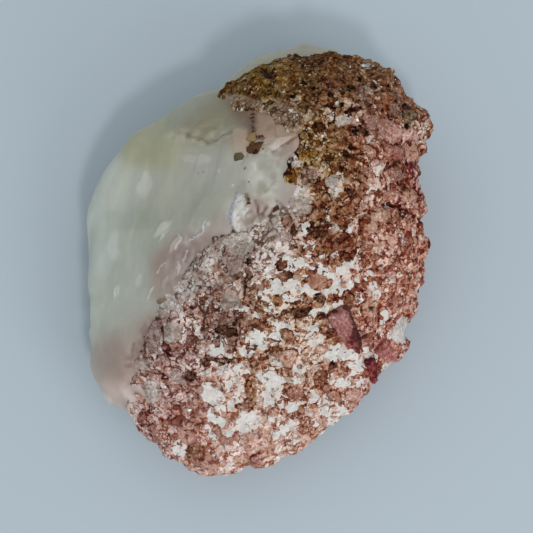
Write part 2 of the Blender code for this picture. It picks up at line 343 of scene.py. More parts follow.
# sRGB colours of single crystals, by name
finishes = {
    "palePink": (190, 154, 143),
    "rose": (158, 112, 100),
    "tan": (184, 148, 130),
    "clay": (146, 106, 76),
    "sienna": (134, 92, 70),
    "russet": (112, 68, 54),
    "umber": (76, 44, 24),
    "ochre": (124, 90, 42),
    "maroon": (124, 66, 58),
    "mauve": (144, 120, 108),
    "smoke": (136, 115, 108),
    "beige": (152, 138, 128),
    "pearl": (174, 164, 155),
    "olive": (88, 80, 54),
    "honey": (140, 114, 76),
    "bark": (84, 56, 30),
    "dun": (128, 110, 88),
    "white": (208, 205, 199),
    "cream": (196, 184, 172),
    "ice": (190, 188, 184),
    "dusk": (156, 124, 112),
    "crimson": (118, 44, 46),
    "jet": (40, 26, 16),
}
quartzFinishes = ("smoke", "beige", "pearl", "ice")  # the ones that are quartz


# mesh helpers
def grid(rows, columns):
    # every pair of a row's and a column's value
    return (values.ravel() for values in np.meshgrid(rows, columns, indexing="ij"))


def cubeSphere(count, toward, lean):
    # six grids of u and v on a cube's sides, spaced by tan, their seams merged, as unit directions;
    # adding lean times the direction toward draws them closer together on that side
    line = np.tan(np.linspace(-1, 1, count + 1) * np.pi / 4)
    u, v = grid(line, line)
    one = np.ones_like(u)
    sides = ((one, u, v), (-one, v, u), (v, one, u), (u, -one, v), (u, v, one), (v, u, -one))
    points = np.concatenate([np.stack(side, axis=1) for side in sides])
    row, column = grid(np.arange(count), np.arange(count))
    first = row * (count + 1) + column
    quad = np.stack([first, first + count + 1, first + count + 2, first + 1], axis=1)
    quads = np.concatenate([quad + side * (count + 1) ** 2 for side in range(6)])
    _, keep, back = np.unique(
        np.round(points * 1e6).astype(np.int64), axis=0, return_index=True, return_inverse=True
    )
    points = points[keep] * form["spread"]
    points /= lengths(points)[:, None]
    points += lean * np.array(toward) / np.linalg.norm(toward)
    return points / lengths(points)[:, None], back.ravel()[quads]


def bodyMesh(values):
    # a mesh's directions and faces, the body's radius along them and how deep that lies in the crust
    directions, quads = cubeSphere(values["gridCount"], values["fineSide"], values["fineLean"])
    body = bodyRadius(directions)
    return directions, quads, body, contactDepth(directions * body[:, None])


def vertexNormals(points, quads):
    # each face's normal is the cross product of its diagonals, summed at its corners
    a, b, c, d = (points[quads[:, k]] for k in range(4))
    faceNormals = np.cross(c - a, d - b)
    sums = [
        sum(np.bincount(quads[:, corner], faceNormals[:, axis], len(points)) for corner in range(4))
        for axis in range(3)
    ]
    total = np.stack(sums, axis=1)
    return total / np.maximum(lengths(total), 1e-12)[:, None]


def surfacePlace(x, y, top):
    # the point of a surface that is seen at a place, from its points within half a millimetre
    away = seenPlace(top) - (x, y)
    near = np.hypot(*away.T) < 0.5
    middle = top[near].mean(axis=0)
    middle[:2] -= away[near].mean(axis=0)
    return middle


def grounded(points, floor=0.0):
    # nothing lies below the base
    out = points + form["centre"]
    out[:, 2] = np.maximum(out[:, 2], floor)
    return out


def makePiece(name, points, faces, material, attributes=None, smooth=True):
    # a mesh object at the origin from millimetre points, with colours at its vertices
    mesh = bpy.data.meshes.new(name)
    faces = np.asarray(faces)
    mesh.vertices.add(len(points))
    mesh.vertices.foreach_set("co", (points * mm).astype(np.float32).ravel())
    mesh.loops.add(faces.size)
    mesh.loops.foreach_set("vertex_index", faces.astype(np.int32).ravel())
    mesh.polygons.add(len(faces))
    mesh.polygons.foreach_set("loop_start", np.arange(0, faces.size, faces.shape[1], dtype=np.int32))
    mesh.update(calc_edges=True)
    mesh.validate()
    for key, values in (attributes or {}).items():
        held = mesh.attributes.new(key, "FLOAT_COLOR", "POINT")
        held.data.foreach_set("color", values.astype(np.float32).ravel())
    mesh.polygons.foreach_set("use_smooth", np.full(len(mesh.polygons), smooth))
    mesh.materials.append(material)
    piece = bpy.data.objects.new(name, mesh)
    bpy.context.scene.collection.objects.link(piece)
    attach(piece, "root")
    return piece


def joined(parts):
    # the points, faces and colours of one mesh made of several
    points, faces, tints = zip(*parts)
    starts = np.cumsum([0] + [len(p) for p in points])
    faces = [f + start for f, start in zip(faces, starts)]
    return np.concatenate(points), np.concatenate(faces), np.concatenate(tints)


# shader helpers
class Wire:
    # an output socket; arithmetic on it adds Math nodes
    def __init__(self, paint, socket):
        self.paint = paint
        self.socket = socket

    def math(self, operation, *others):
        values = dict(enumerate((self, *others)))
        return self.paint.node("Math", {"operation": operation}, values)

    def __add__(self, other):
        return self.math("ADD", other)

    __radd__ = __add__

    def __mul__(self, other):
        return self.math("MULTIPLY", other)

    __rmul__ = __mul__

    def __sub__(self, other):
        return self.math("SUBTRACT", other)

    def __rsub__(self, other):
        return self.paint.node("Math", {"operation": "SUBTRACT"}, {0: other, 1: self})

    def clamp(self, low, high):
        return self.paint.node("Clamp", {}, {"Value": self, "Min": low, "Max": high})

    def step(self, low, high):
        # 0 below low and 1 above high, with a smooth rise between
        sockets = {"Value": self, "From Min": low, "From Max": high}
        return self.paint.node("MapRange", {"interpolation_type": "SMOOTHSTEP"}, sockets)


class Paint:
    # one material; node() makes any shader node from its kind, its settings and what its sockets hold
    def __init__(self, name):
        self.material = bpy.data.materials.new(name)
        self.material.use_nodes = True
        self.tree = self.material.node_tree
        self.shader = self.tree.nodes["Principled BSDF"]
        self.place = self.node("TexCoord", {}, {}, "Object")

    def node(self, kind, settings, sockets, output=0):
        made = self.tree.nodes.new("ShaderNode" + kind)
        for key, value in settings.items():
            setattr(made, key, value)
        for key, value in sockets.items():
            self.feed(made.inputs[key], value)
        return Wire(self, made.outputs[output])

    def feed(self, socket, value):
        if isinstance(value, Wire):
            self.tree.links.new(value.socket, socket)
        else:
            socket.default_value = value

    def at(self, size, place):
        # what a texture's sockets hold at a place, for features of this size in millimetres
        return {"Vector": place or self.place, "Scale": 1 / (size * mm)}

    def noise(self, size, detail=3.0, rough=0.55, place=None):
        # noise from 0 to 1 whose features measure about this many millimetres
        sockets = {**self.at(size, place), "Detail": detail, "Roughness": rough}
        return self.node("TexNoise", {}, sockets)

    def cells(self, size, output, place=None, feature="F1"):
        # Voronoi cells of this size in millimetres
        return self.node("TexVoronoi", {"feature": feature}, self.at(size, place), output)

    def stones(self, size, place):
        # Voronoi stones of this size in millimetres: three random numbers for each, the distance to its
        # edge and how far a point lies behind its middle, both in stone sizes
        colour = self.cells(size, "Color", place)
        middle = Wire(self, colour.socket.node.outputs["Position"])
        away = self.vector("SUBTRACT", place, middle)
        edge = self.cells(size, "Distance", place, "DISTANCE_TO_EDGE")
        return [*self.parts(colour), edge, self.parts(away)[1] * (1 / (size * mm))]

    def vector(self, operation, first, second):
        return self.node("VectorMath", {"operation": operation}, {0: first, 1: second})

    def parts(self, colour):
        # the red, green and blue of a colour as numbers
        split = self.tree.nodes.new("ShaderNodeSeparateColor")
        self.feed(split.inputs["Color"], colour)
        return [Wire(self, socket) for socket in split.outputs]

    def bent(self, size, reach, place=None):
        # a place moved by noise of this size, by up to about half this reach in millimetres
        shift = self.node("TexNoise", {}, {**self.at(size, place), "Detail": 1.0}, "Color")
        moved = self.scaled(self.vector("SUBTRACT", shift, (0.5, 0.5, 0.5)), reach * mm)
        return self.vector("ADD", place or self.place, moved)

    def thickened(self, colour, thickness):
        # a translucent colour seen through this many times its own thickness: each part to that power
        return self.node("Gamma", {}, {"Color": colour, "Gamma": thickness})

    def stretched(self, scale, turn=(0, 0, 0)):
        # the object's own place, turned and scaled
        turned = tuple(math.radians(a) for a in turn)
        return self.node("Mapping", {}, {"Vector": self.place, "Rotation": turned, "Scale": scale})

    def mix(self, factor, first, second):
        # mixes two colours, each a wire or linear red, green and blue
        sockets = {0: factor, 6: self.colour(first), 7: self.colour(second)}
        return self.node("Mix", {"data_type": "RGBA"}, sockets, 2)

    def colour(self, value):
        return value if isinstance(value, Wire) else (*value, 1.0)

    def scaled(self, colour, factor):
        # a colour times a number, which may be a wire
        return self.node("VectorMath", {"operation": "SCALE"}, {0: colour, "Scale": factor})

    def attribute(self, name, output="Color"):
        return self.node("Attribute", {"attribute_name": name}, {}, output)

    def bump(self, height, distance, strength):
        sockets = {"Height": height, "Distance": distance * mm, "Strength": strength}
        return self.node("Bump", {}, sockets)

    def finish(self, sockets):
        for key, value in sockets.items():
            self.feed(self.shader.inputs[key], value)
        return self.material


# the quartz body
quartz = {
    "gridCount": 126,
    "fineSide": (-0.25, 0.25, 0.93),  # the mesh is finest on this side
    "fineLean": 0.45,
    "gain": np.array([1.41, 1.36, 1.30]),
    # each tint, then the places where it shows: x, y and reach as seen
    "tints": {
        # painted highlight: a pale blue strip along the left edge
        "edgeHighlight": ((159, 169, 167), [(-22.6, 5.0, 1.5), (-22.2, -1.0, 1.5), (-21.2, 10.5, 1.5)]),
        "cool": ((153, 161, 153), [(-19.4, 3.5, 2.4), (-21.0, -7.5, 2.2), (-17.8, -4.6, 1.8)]),
        "pale": ((163, 167, 156), [(-16.6, 9.4, 1.6), (-18.6, 7.6, 1.2)]),
        "olive": ((147, 146, 122), [(-15.4, 13.2, 1.4), (-12.4, 13.1, 1.2), (-14.2, 16.2, 1.5)]),
        "rim": ((142, 138, 120), [(3.0, 27.6, 2.6), (9.4, 28.6, 2.6), (-2.0, 26.0, 2.0)]),
        "dimOlive": ((133, 128, 108), [(-8.4, 17.0, 1.3), (-7.4, 16.6, 1.3), (-4.4, 17.2, 1.3)]),
        "stain": ((116, 92, 72), [(1.4, 18.8, 1.7), (-1.6, 19.4, 1.1), (4.2, 18.6, 1.4)]),
        "rust": ((66, 40, 16), [(-0.5, 18.2, 0.5), (-0.4, 16.9, 0.45)]),
        "warm": ((142, 144, 133), [
            (-10.4, 19.2, 1.5), (-14.4, 5.4, 2.2), (-10.6, 7.6, 2.0), (-15.4, 2.6, 1.6), (-6.8, 6.6, 1.6),
        ]),
        "grey": ((147, 147, 139), [
            (-7.8, 11.2, 1.8), (-5.0, 12.6, 1.4), (-17.8, -9.0, 1.8), (-9.0, 4.2, 1.2), (-17.6, -4.0, 1.6),
            (-14.4, 8.2, 1.2), (-1.5, 9.6, 1.2),
        ]),
        "milk": ((145, 143, 134), [(1.8, 10.4, 1.7), (-1.0, 9.2, 1.2), (2.0, 7.6, 1.2), (0.8, 12.4, 1.2)]),
        "chalky": ((170, 166, 160), [(-2.5, 5.5, 0.9), (-2.7, 2.5, 1.0)]),
        "tan": ((156, 136, 118), [(0.3, 18.7, 0.8), (3.0, 18.7, 1.2), (4.1, 16.8, 1.2)]),
        "dun": ((144, 126, 110), [(1.9, 17.4, 1.6), (3.7, 17.9, 1.6), (-2.2, 15.1, 1.0)]),
        "rosy": ((143, 131, 124), [
            (-9.4, -0.2, 1.4), (-11.0, -2.9, 1.3), (-18.2, -13.2, 1.6), (-18.6, -16.2, 1.4),
            (-0.2, 2.4, 1.2), (5.4, 5.4, 1.8), (-4.0, -2.6, 2.2), (-4.2, 3.4, 1.0), (-10.9, -2.4, 1.2),
            (1.2, 5.5, 1.2), (-13.2, -5.1, 0.9), (3.6, 13.5, 0.8),
        ]),
        "mauve": ((128, 108, 101), [
            (-14.4, -11.4, 1.4), (-15.2, -15.6, 1.5), (-3.2, -6.8, 1.8), (-10.5, -1.6, 1.3),
            (-8.1, 0.3, 1.2), (-11.3, -3.0, 1.3), (-16.8, -16.2, 1.0), (0.8, 5.8, 0.8),
        ]),
        "blush": ((165, 148, 143), [(-14.0, -19.2, 1.5), (-19.8, -19.2, 1.5), (9.0, 11.5, 2.4)]),
    },
    "side": (150, 151, 143),  # the tint all round below
    "white": (222, 224, 228),
    # facets: optical thickness added, width of the soft edge, tilt, and the corners as seen
    "facets": {
        "upper": (0.10, 0.30, 0.3, [
            (-12.2, 19.6), (-5.5, 21.5), (-1.4, 19.5), (-1.0, 17.4), (-3.2, 16.5), (-6.2, 15.0),
            (-9.2, 15.5), (-12.2, 15.9),
        ]),
        "besideGrain": (-0.14, 0.2, 0.1, [
            (-3.0, 16.6), (-1.2, 16.8), (-1.0, 14.6), (-1.6, 12.6), (-3.0, 12.2),
        ]),
        "oliveBand": (0.04, 0.8, 0.1, [(-18.4, 15.4), (-11.8, 14.6), (-12.2, 12.0), (-18.6, 11.8)]),
        "middle": (0.08, 0.5, 0.1, [(-21.0, 5.4), (-13.4, 6.0), (-13.2, 3.0), (-20.5, 2.8)]),
        "lowerLeft": (0.10, 1.0, 0.1, [(-21.0, -9.6), (-17.8, -10.4), (-17.6, -17.6), (-22.4, -17.4)]),
        "mauveLump": (0.16, 0.35, 0.4, [
            (-14.6, -8.8), (-12.8, -9.4), (-12.4, -11.4), (-13.0, -13.4), (-15.0, -13.2), (-15.6, -10.8),
        ]),
        "mauveSlope": (0.08, 0.6, 0.0, [
            (-9.2, 2.0), (-6.6, 1.6), (-6.2, -1.6), (-8.6, -4.2), (-10.4, -2.0),
        ]),
        "tongueLight": (-0.14, 0.2, 0.2, [(0.8, 13.8), (1.2, 15.7), (4.8, 16.1), (4.4, 14.8), (2.8, 13.8)]),
        # painted shadow: a darker band across the tongue
        "tongueShadowBand": (0.12, 0.2, 0.1, [
            (0.3, 13.5), (2.8, 13.8), (5.0, 14.9), (5.5, 14.1), (3.3, 13.1), (0.8, 13.0),
        ]),
        "tongueShelf": (-0.10, 0.2, 0.2, [(-1.8, 11.9), (0.0, 12.1), (0.3, 8.3), (-1.3, 8.0)]),
        "tongueStep": (0.10, 0.15, 0.4, [(0.3, 9.9), (1.9, 8.8), (0.8, 7.4), (-0.8, 6.9)]),
        "tongueLump": (-0.10, 0.15, 0.3, [(0.3, 6.5), (3.7, 6.9), (4.0, 5.2), (0.9, 5.0)]),
        "ledgeShadow": (0.45, 0.2, 0.4, [(-1.8, 3.9), (0.3, 5.1), (0.9, 4.4), (-1.1, 3.0)]),
    },
    # flakes lit with painted light: middle x, y as seen, half length, half width, azimuth, painted
    # lightening, rise
    "flakes": [
        (-13.0, 3.0, 1.7, 0.7, 50, 0.28, 0.10), (-11.3, 0.7, 1.6, 0.6, 62, 0.30, 0.14),
        (-16.0, -4.0, 1.2, 0.5, 75, 0.16, 0.06), (-18.7, -5.6, 1.0, 0.4, 80, 0.18, 0.06),
        (-15.4, 9.2, 2.3, 1.1, 75, 0.18, 0.08), (-19.6, 0.8, 2.5, 0.8, 88, 0.12, 0.05),
        (-12.2, -4.4, 1.1, 0.4, 70, 0.16, 0.06), (-8.4, 12.8, 2.6, 0.9, 0, 0.14, 0.05),
        (-3.4, 8.9, 0.4, 0.3, 0, 0.30, 0.10), (-6.6, 3.6, 0.4, 0.3, 0, 0.30, 0.10),
        (-5.6, 11.0, 0.4, 0.2, 80, 0.24, 0.05), (-20.4, -20.0, 1.8, 1.0, -40, 0.24, 0.10),
        (-17.0, -19.6, 1.4, 0.8, -60, 0.20, 0.10), (3.3, 15.0, 2.4, 0.8, 30, 0.20, 0.10),
        (-2.4, 6.3, 1.6, 0.8, 75, 0.22, 0.14), (-2.7, 3.9, 1.9, 0.7, 88, 0.24, 0.14),
        (-2.1, 1.4, 1.4, 0.9, 80, 0.24, 0.16), (0.8, 3.3, 1.2, 0.4, 70, 0.26, 0.12),
        (0.0, 3.9, 0.9, 0.3, 80, 0.24, 0.12),
    ],
    # broken ridges as seen, their white partly crumbled quartz and partly a painted highlight: start x, y,
    # end x, y, width and height in millimetres
    "ridges": [
        (-6.9, 4.3, -7.6, 2.6, 0.13, 0.14), (-7.6, 2.6, -9.0, 1.3, 0.15, 0.12),
        (-9.3, -0.1, -9.8, -1.4, 0.11, 0.08), (-10.4, 1.9, -10.9, 0.1, 0.12, 0.08),
        (-12.0, 3.0, -13.3, 1.3, 0.11, 0.06), (-12.3, -1.6, -13.4, -3.0, 0.11, 0.05),
        (-10.5, -1.6, -10.5, -3.5, 0.11, 0.05), (-14.0, -5.0, -14.6, -6.6, 0.13, 0.06),
        (-18.9, -5.4, -18.9, -6.6, 0.16, 0.06), (-2.5, 7.4, -3.1, 6.2, 0.35, 0.12),
        (-3.1, 6.2, -3.3, 4.6, 0.45, 0.16), (-3.3, 4.6, -2.8, 3.2, 0.40, 0.14),
        (-2.2, 7.0, -1.2, 7.2, 0.25, 0.12), (-2.4, 4.6, -1.0, 5.6, 0.25, 0.07),
    ],
    # dark marks as seen, grooves darkened with painted shadow: start x, y, end x, y, width, depth
    "marks": [
        (-1.3, 7.6, -0.8, 6.7, 0.17, 0.20), (-0.8, 6.7, -1.3, 6.2, 0.15, 0.15),
        (0.2, 6.1, 0.3, 5.2, 0.16, 0.20), (0.3, 5.2, 1.1, 5.0, 0.15, 0.18),
        (2.0, 5.0, 2.9, 6.2, 0.14, 0.12), (-2.4, 3.8, -0.6, 5.4, 0.20, 0.10),
        (-3.3, 3.0, -2.9, 2.2, 0.18, 0.20), (0.0, 6.9, 0.4, 5.5, 0.16, 0.14),
        (1.4, 6.0, 1.0, 4.7, 0.20, 0.14), (2.2, 5.5, 1.9, 4.4, 0.14, 0.10),
        (2.7, 6.9, 3.7, 5.9, 0.18, 0.10), (-1.3, 3.0, -1.2, 1.7, 0.14, 0.14),
        (-1.9, 2.8, -1.8, 1.6, 0.12, 0.10), (1.9, 3.0, 4.2, 3.2, 0.16, 0.20),
        (1.1, 13.8, 2.6, 13.9, 0.12, 0.05), (2.6, 13.9, 3.6, 14.5, 0.14, 0.09),
        (3.6, 14.5, 5.6, 15.8, 0.16, 0.14), (-0.5, 18.9, -0.4, 16.0, 0.45, 0.05),
        (-1.3, 13.8, -2.2, 12.0, 0.12, 0.06), (-0.8, 16.0, 0.8, 15.6, 0.16, 0.10),
        (1.7, 16.8, 2.7, 18.2, 0.30, 0.03), (2.7, 16.2, 2.5, 17.6, 0.25, 0.03),
        (-9.2, 15.5, -6.4, 15.1, 0.22, 0.05), (-6.4, 15.1, -3.4, 16.5, 0.22, 0.05),
        (1.4, 7.8, 2.6, 9.2, 0.20, 0.05), (-12.8, -9.0, -12.5, -11.6, 0.20, 0.12),
        (-9.4, -3.4, -8.4, -3.6, 0.16, 0.12), (-16.2, -12.6, -16.8, -15.4, 0.30, 0.06),
    ],
    # small grains caught in the quartz: middle x, y as seen, half length, half width, azimuth, finish, rise
    "strays": [
        (-2.1, 13.0, 0.85, 0.60, 55, "olive", 0.25), (-0.1, 15.1, 0.95, 0.70, 0, "honey", 0.35),
        # the pearl grain at -0.7, 15.4 is a painted highlight at the top left of the honey and bark grains
        (-0.4, 14.6, 0.45, 0.35, 0, "bark", 0.38), (-0.7, 15.4, 0.35, 0.30, 0, "pearl", 0.45),
        (0.4, 15.6, 0.60, 0.18, 10, "umber", 0.35), (0.0, 14.1, 0.80, 0.80, 0, "bark", 0.35),
        (0.1, 13.5, 0.50, 0.50, 0, "jet", 0.30), (-0.5, 18.1, 0.80, 0.28, 80, "umber", 0.02),
        (-0.3, 16.5, 0.50, 0.25, 100, "umber", 0.02), (-1.0, 6.7, 0.45, 0.20, 110, "bark", 0.20),
        (3.2, 5.6, 0.6, 0.5, 0, "umber", 0.20), (-1.4, 11.3, 0.22, 0.18, 0, "dun", 0.02),
        (-0.2, 12.3, 0.20, 0.15, 0, "dun", 0.02), (1.3, 15.4, 0.18, 0.15, 0, "bark", 0.02),
        (1.1, 13.8, 0.22, 0.15, 0, "bark", 0.02), (-0.9, 9.3, 0.18, 0.15, 0, "dun", 0.02),
        (-0.9, 6.9, 0.5, 0.5, 0, "dun", 0.10), (-5.0, 1.7, 0.9, 0.3, 10, "bark", 0.15),
        (-5.0, 1.0, 0.8, 0.3, -5, "bark", 0.15), (4.6, 5.6, 0.5, 0.5, 0, "bark", 0.20),
        (-3.0, 2.5, 0.3, 0.3, 0, "bark", 0.10), (-0.2, 1.0, 1.2, 0.4, -12, "bark", 0.15),
        (-8.6, -3.4, 0.9, 0.4, 20, "dun", 0.15), (-12.4, -7.0, 0.7, 0.9, 0, "dun", 0.15),
        (-11.9, -9.2, 0.9, 0.6, 10, "dun", 0.15),
    ],
    # where the quartz is splintered: middle x, y, half length, half width, azimuth
    "splintered": [
        (0.8, 9.0, 7.4, 3.4, 80), (-9.6, -0.6, 5.6, 2.0, 62), (-14.6, -14.5, 5.4, 2.6, 80),
        (-7.0, 16.2, 5.0, 1.6, 10),
    ],
    # white crumbs along broken ridges: start x, y, end x, y, half width, how many
    "crumbLines": [
        (-2.4, 7.4, -3.1, 5.6, 0.45, 40), (-3.1, 5.6, -3.3, 4.2, 0.50, 40),
        (-3.3, 4.2, -2.8, 2.9, 0.35, 14), (-2.0, 6.8, -1.0, 7.1, 0.30, 7), (-2.2, 4.7, -0.9, 5.5, 0.30, 8),
        (-6.9, 4.3, -7.6, 2.6, 0.10, 5), (-7.6, 2.6, -9.0, 1.3, 0.16, 9), (-9.3, -0.1, -9.8, -1.4, 0.10, 3),
        (-10.4, 1.9, -10.9, 0.1, 0.14, 4), (-0.8, 2.6, -0.4, 0.8, 0.30, 8),
        (1.7, 14.3, 4.9, 16.0, 0.50, 10), (-1.1, 15.6, -0.5, 15.1, 0.20, 4), (0.8, 8.9, 3.3, 10.7, 1.20, 7),
        (-8.0, 14.4, -7.0, 9.0, 1.20, 4),
    ],
    "crumbSize": (0.06, 0.20),
    "crumbShade": (0.45, 0.9),
    "facetRise": 0.35,  # of a facet's tilt
    "splinterRise": 0.16,
    "splinterTone": (0.30, 0.12),  # of the splinters' planes and of finer noise
    "shadowMarkTone": 6.5,
    "waves": (0.6, 0.6),  # heights of the broad waves and of the stepped ridges
    "fineWaves": (0.14, 0.04),
    "lowerSteps": 0.30,
    "lowerShare": 0.75,  # of the side's tint
    "ior": 1.544,
    "subsurface": 0.85,
}


quartzZones = [(*place, colour) for colour, places in quartz["tints"].values() for place in places]


def quartzRadius(directions, body, depth):
    # the quartz dips under the tourmaline
    return body - np.clip(0.6 * (depth - 0.1), 0, 0.5 * body)


def quartzDetails(points):
    # the facets, flakes, splinters, ridges and marks: what they add to the height and the thickness, which
    # holds painted shadow in the marks and one facet and painted light on the flakes; and how white and
    # broken the surface is, the white along the ridges partly a painted highlight
    flat = points.copy()
    flat[:, :2] += 0.25 * np.stack([softNoise(points, 1.2, 44), softNoise(points, 1.2, 45)], axis=1)
    rise = np.zeros(len(points))
    tone = np.zeros(len(points))
    above = smoothStep(points[:, 2], -5, 0)
    for added, soft, tilt, corners in quartz["facets"].values():
        inside = insideOutline(seenPlace(flat), np.array(corners))
        share = smoothStep(inside, -soft / 2, soft / 2) * above
        tone += added * share
        rise -= quartz["facetRise"] * tilt * share * np.clip(inside, 0, 1.5)
    ragged = 0.2 * softNoise(points, 0.9, 46)
    for flake in quartz["flakes"]:
        inside, reach = spotReach(flat, ragged, flake)
        # painted light on each flake's facet
        tone[inside] -= flake[5] * smoothStep(1 - reach, 0, 0.45)
        rise[inside] += flake[6] * smoothStep(1 - reach, 0, 0.3)
    splinter = smoothStep(patchField(points, quartz["splintered"]) + 2.2 * ragged, -0.3, 0.7)
    chips = crystalCells(flat, 1.3, 48, blend=18.0)
    planes, grit = quartz["splinterTone"]
    rise += splinter * quartz["splinterRise"] * chips
    tone += splinter * (planes * chips + grit * softNoise(points, 0.6, 49))
    _, dip = nearLines(points, quartz["marks"])
    broken, crest = nearLines(points, quartz["ridges"])
    # painted shadow in the marks' grooves
    tone += quartz["shadowMarkTone"] * dip
    return rise - dip + crest * (1 + 0.5 * softNoise(points, 0.5, 47)), tone, broken


def quartzRelief(points, depth, rise):
    # broad waves, stepped ridges that run fore and aft, fine steps, steps low on the sides, and the
    # details' rise
    bare = np.clip(0.5 - depth, 0, 1)
    turn = np.array([[0.94, -0.34, 0.0], [0.34, 0.94, 0.0], [0.0, 0.0, 1.0]])
    along = points @ turn.T / (1.0, 2.6, 1.5)
    wave, ridge = quartz["waves"]
    step, grit = quartz["fineWaves"]
    broad = wave * softNoise(points, 9.0, 3) + ridge * crystalCells(along, 4.2, 5, blend=9.0)
    fine = step * crystalCells(along, 1.7, 41, blend=12.0) + grit * layeredNoise(points, 1.2, 43)
    steps = quartz["lowerSteps"] * crystalCells(points / (1.6, 1.6, 1.0), 2.3, 42, blend=16.0)
    return bare * (broad + fine + steps * smoothStep(-points[:, 2], -3, 2) + rise)


def quartzFinish():
    paint = Paint("milky_quartz")
    tint = paint.attribute("tint")
    broken = paint.attribute("tint", "Alpha")
    tone, _, _ = paint.parts(paint.attribute("tone"))
    cloud = paint.noise(5.0, 3.0)
    fibres = paint.stretched((1.0, 0.22, 0.5), (0, 0, -14))
    streak = paint.noise(0.8, 4.0, 0.6, fibres)
    fleck = paint.noise(0.45, 3.0, 0.6, fibres).step(0.68, 0.76)
    grit = paint.noise(0.35, 2.0)
    white = tuple(linear(quartz["white"]))
    # the tone holds the painted shadow and painted light of the quartz's details
    body = paint.thickened(tint, 1.22 - cloud * 0.30 - streak * 0.14 + tone)
    body = paint.mix(fleck * 0.12, body, white)
    # white of crumbled quartz along the ridges, partly a painted highlight
    crumbleAndHighlight = (broken + grit * 1.4 - 0.7).step(0.15, 0.75)
    body = paint.mix(crumbleAndHighlight * 0.38, body, white)
    return paint.finish({
        "Base Color": body,
        "Roughness": 0.30 + 0.2 * cloud + crumbleAndHighlight * 0.35,
        "IOR": quartz["ior"],
        "Subsurface Weight": quartz["subsurface"],
        "Subsurface Radius": (1.0, 1.0, 0.92),
        "Subsurface Scale": 1.0 * mm,
        "Normal": paint.bump(streak + fleck * 0.4, 0.07, 0.5),
    })


def makeQuartz():
    directions, quads, body, depth = bodyMesh(quartz)
    points = directions * quartzRadius(directions, body, depth)[:, None]
    depth = contactDepth(points)
    rise, tone, broken = quartzDetails(points)
    points += vertexNormals(points, quads) * quartzRelief(points, depth, rise)[:, None]
    tint = blendZones(points, quartzZones)
    low = smoothStep(-points[:, 2] + 1.5 * softNoise(points, 6.0, 54), -3, 3)
    tint = quartz["gain"] * mixed(tint, linear(quartz["side"]), quartz["lowerShare"] * low)
    attributes = {
        "tint": np.concatenate([tint, broken[:, None]], axis=1),
        "tone": np.stack([tone, tone, tone, np.ones_like(tone)], axis=1),
    }
    floor = np.where(depth > -1, 0.05, 0)  # under the crust it ends a little higher than the crust
    piece = makePiece("quartz_body", grounded(points, floor), quads, quartzFinish(), attributes)
    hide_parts("milky_quartz")
    print("quartz:", len(quads) * 2, "triangles")
    return points[(points[:, 2] > 0) & (depth < 2)]


quartzTop = makeQuartz()


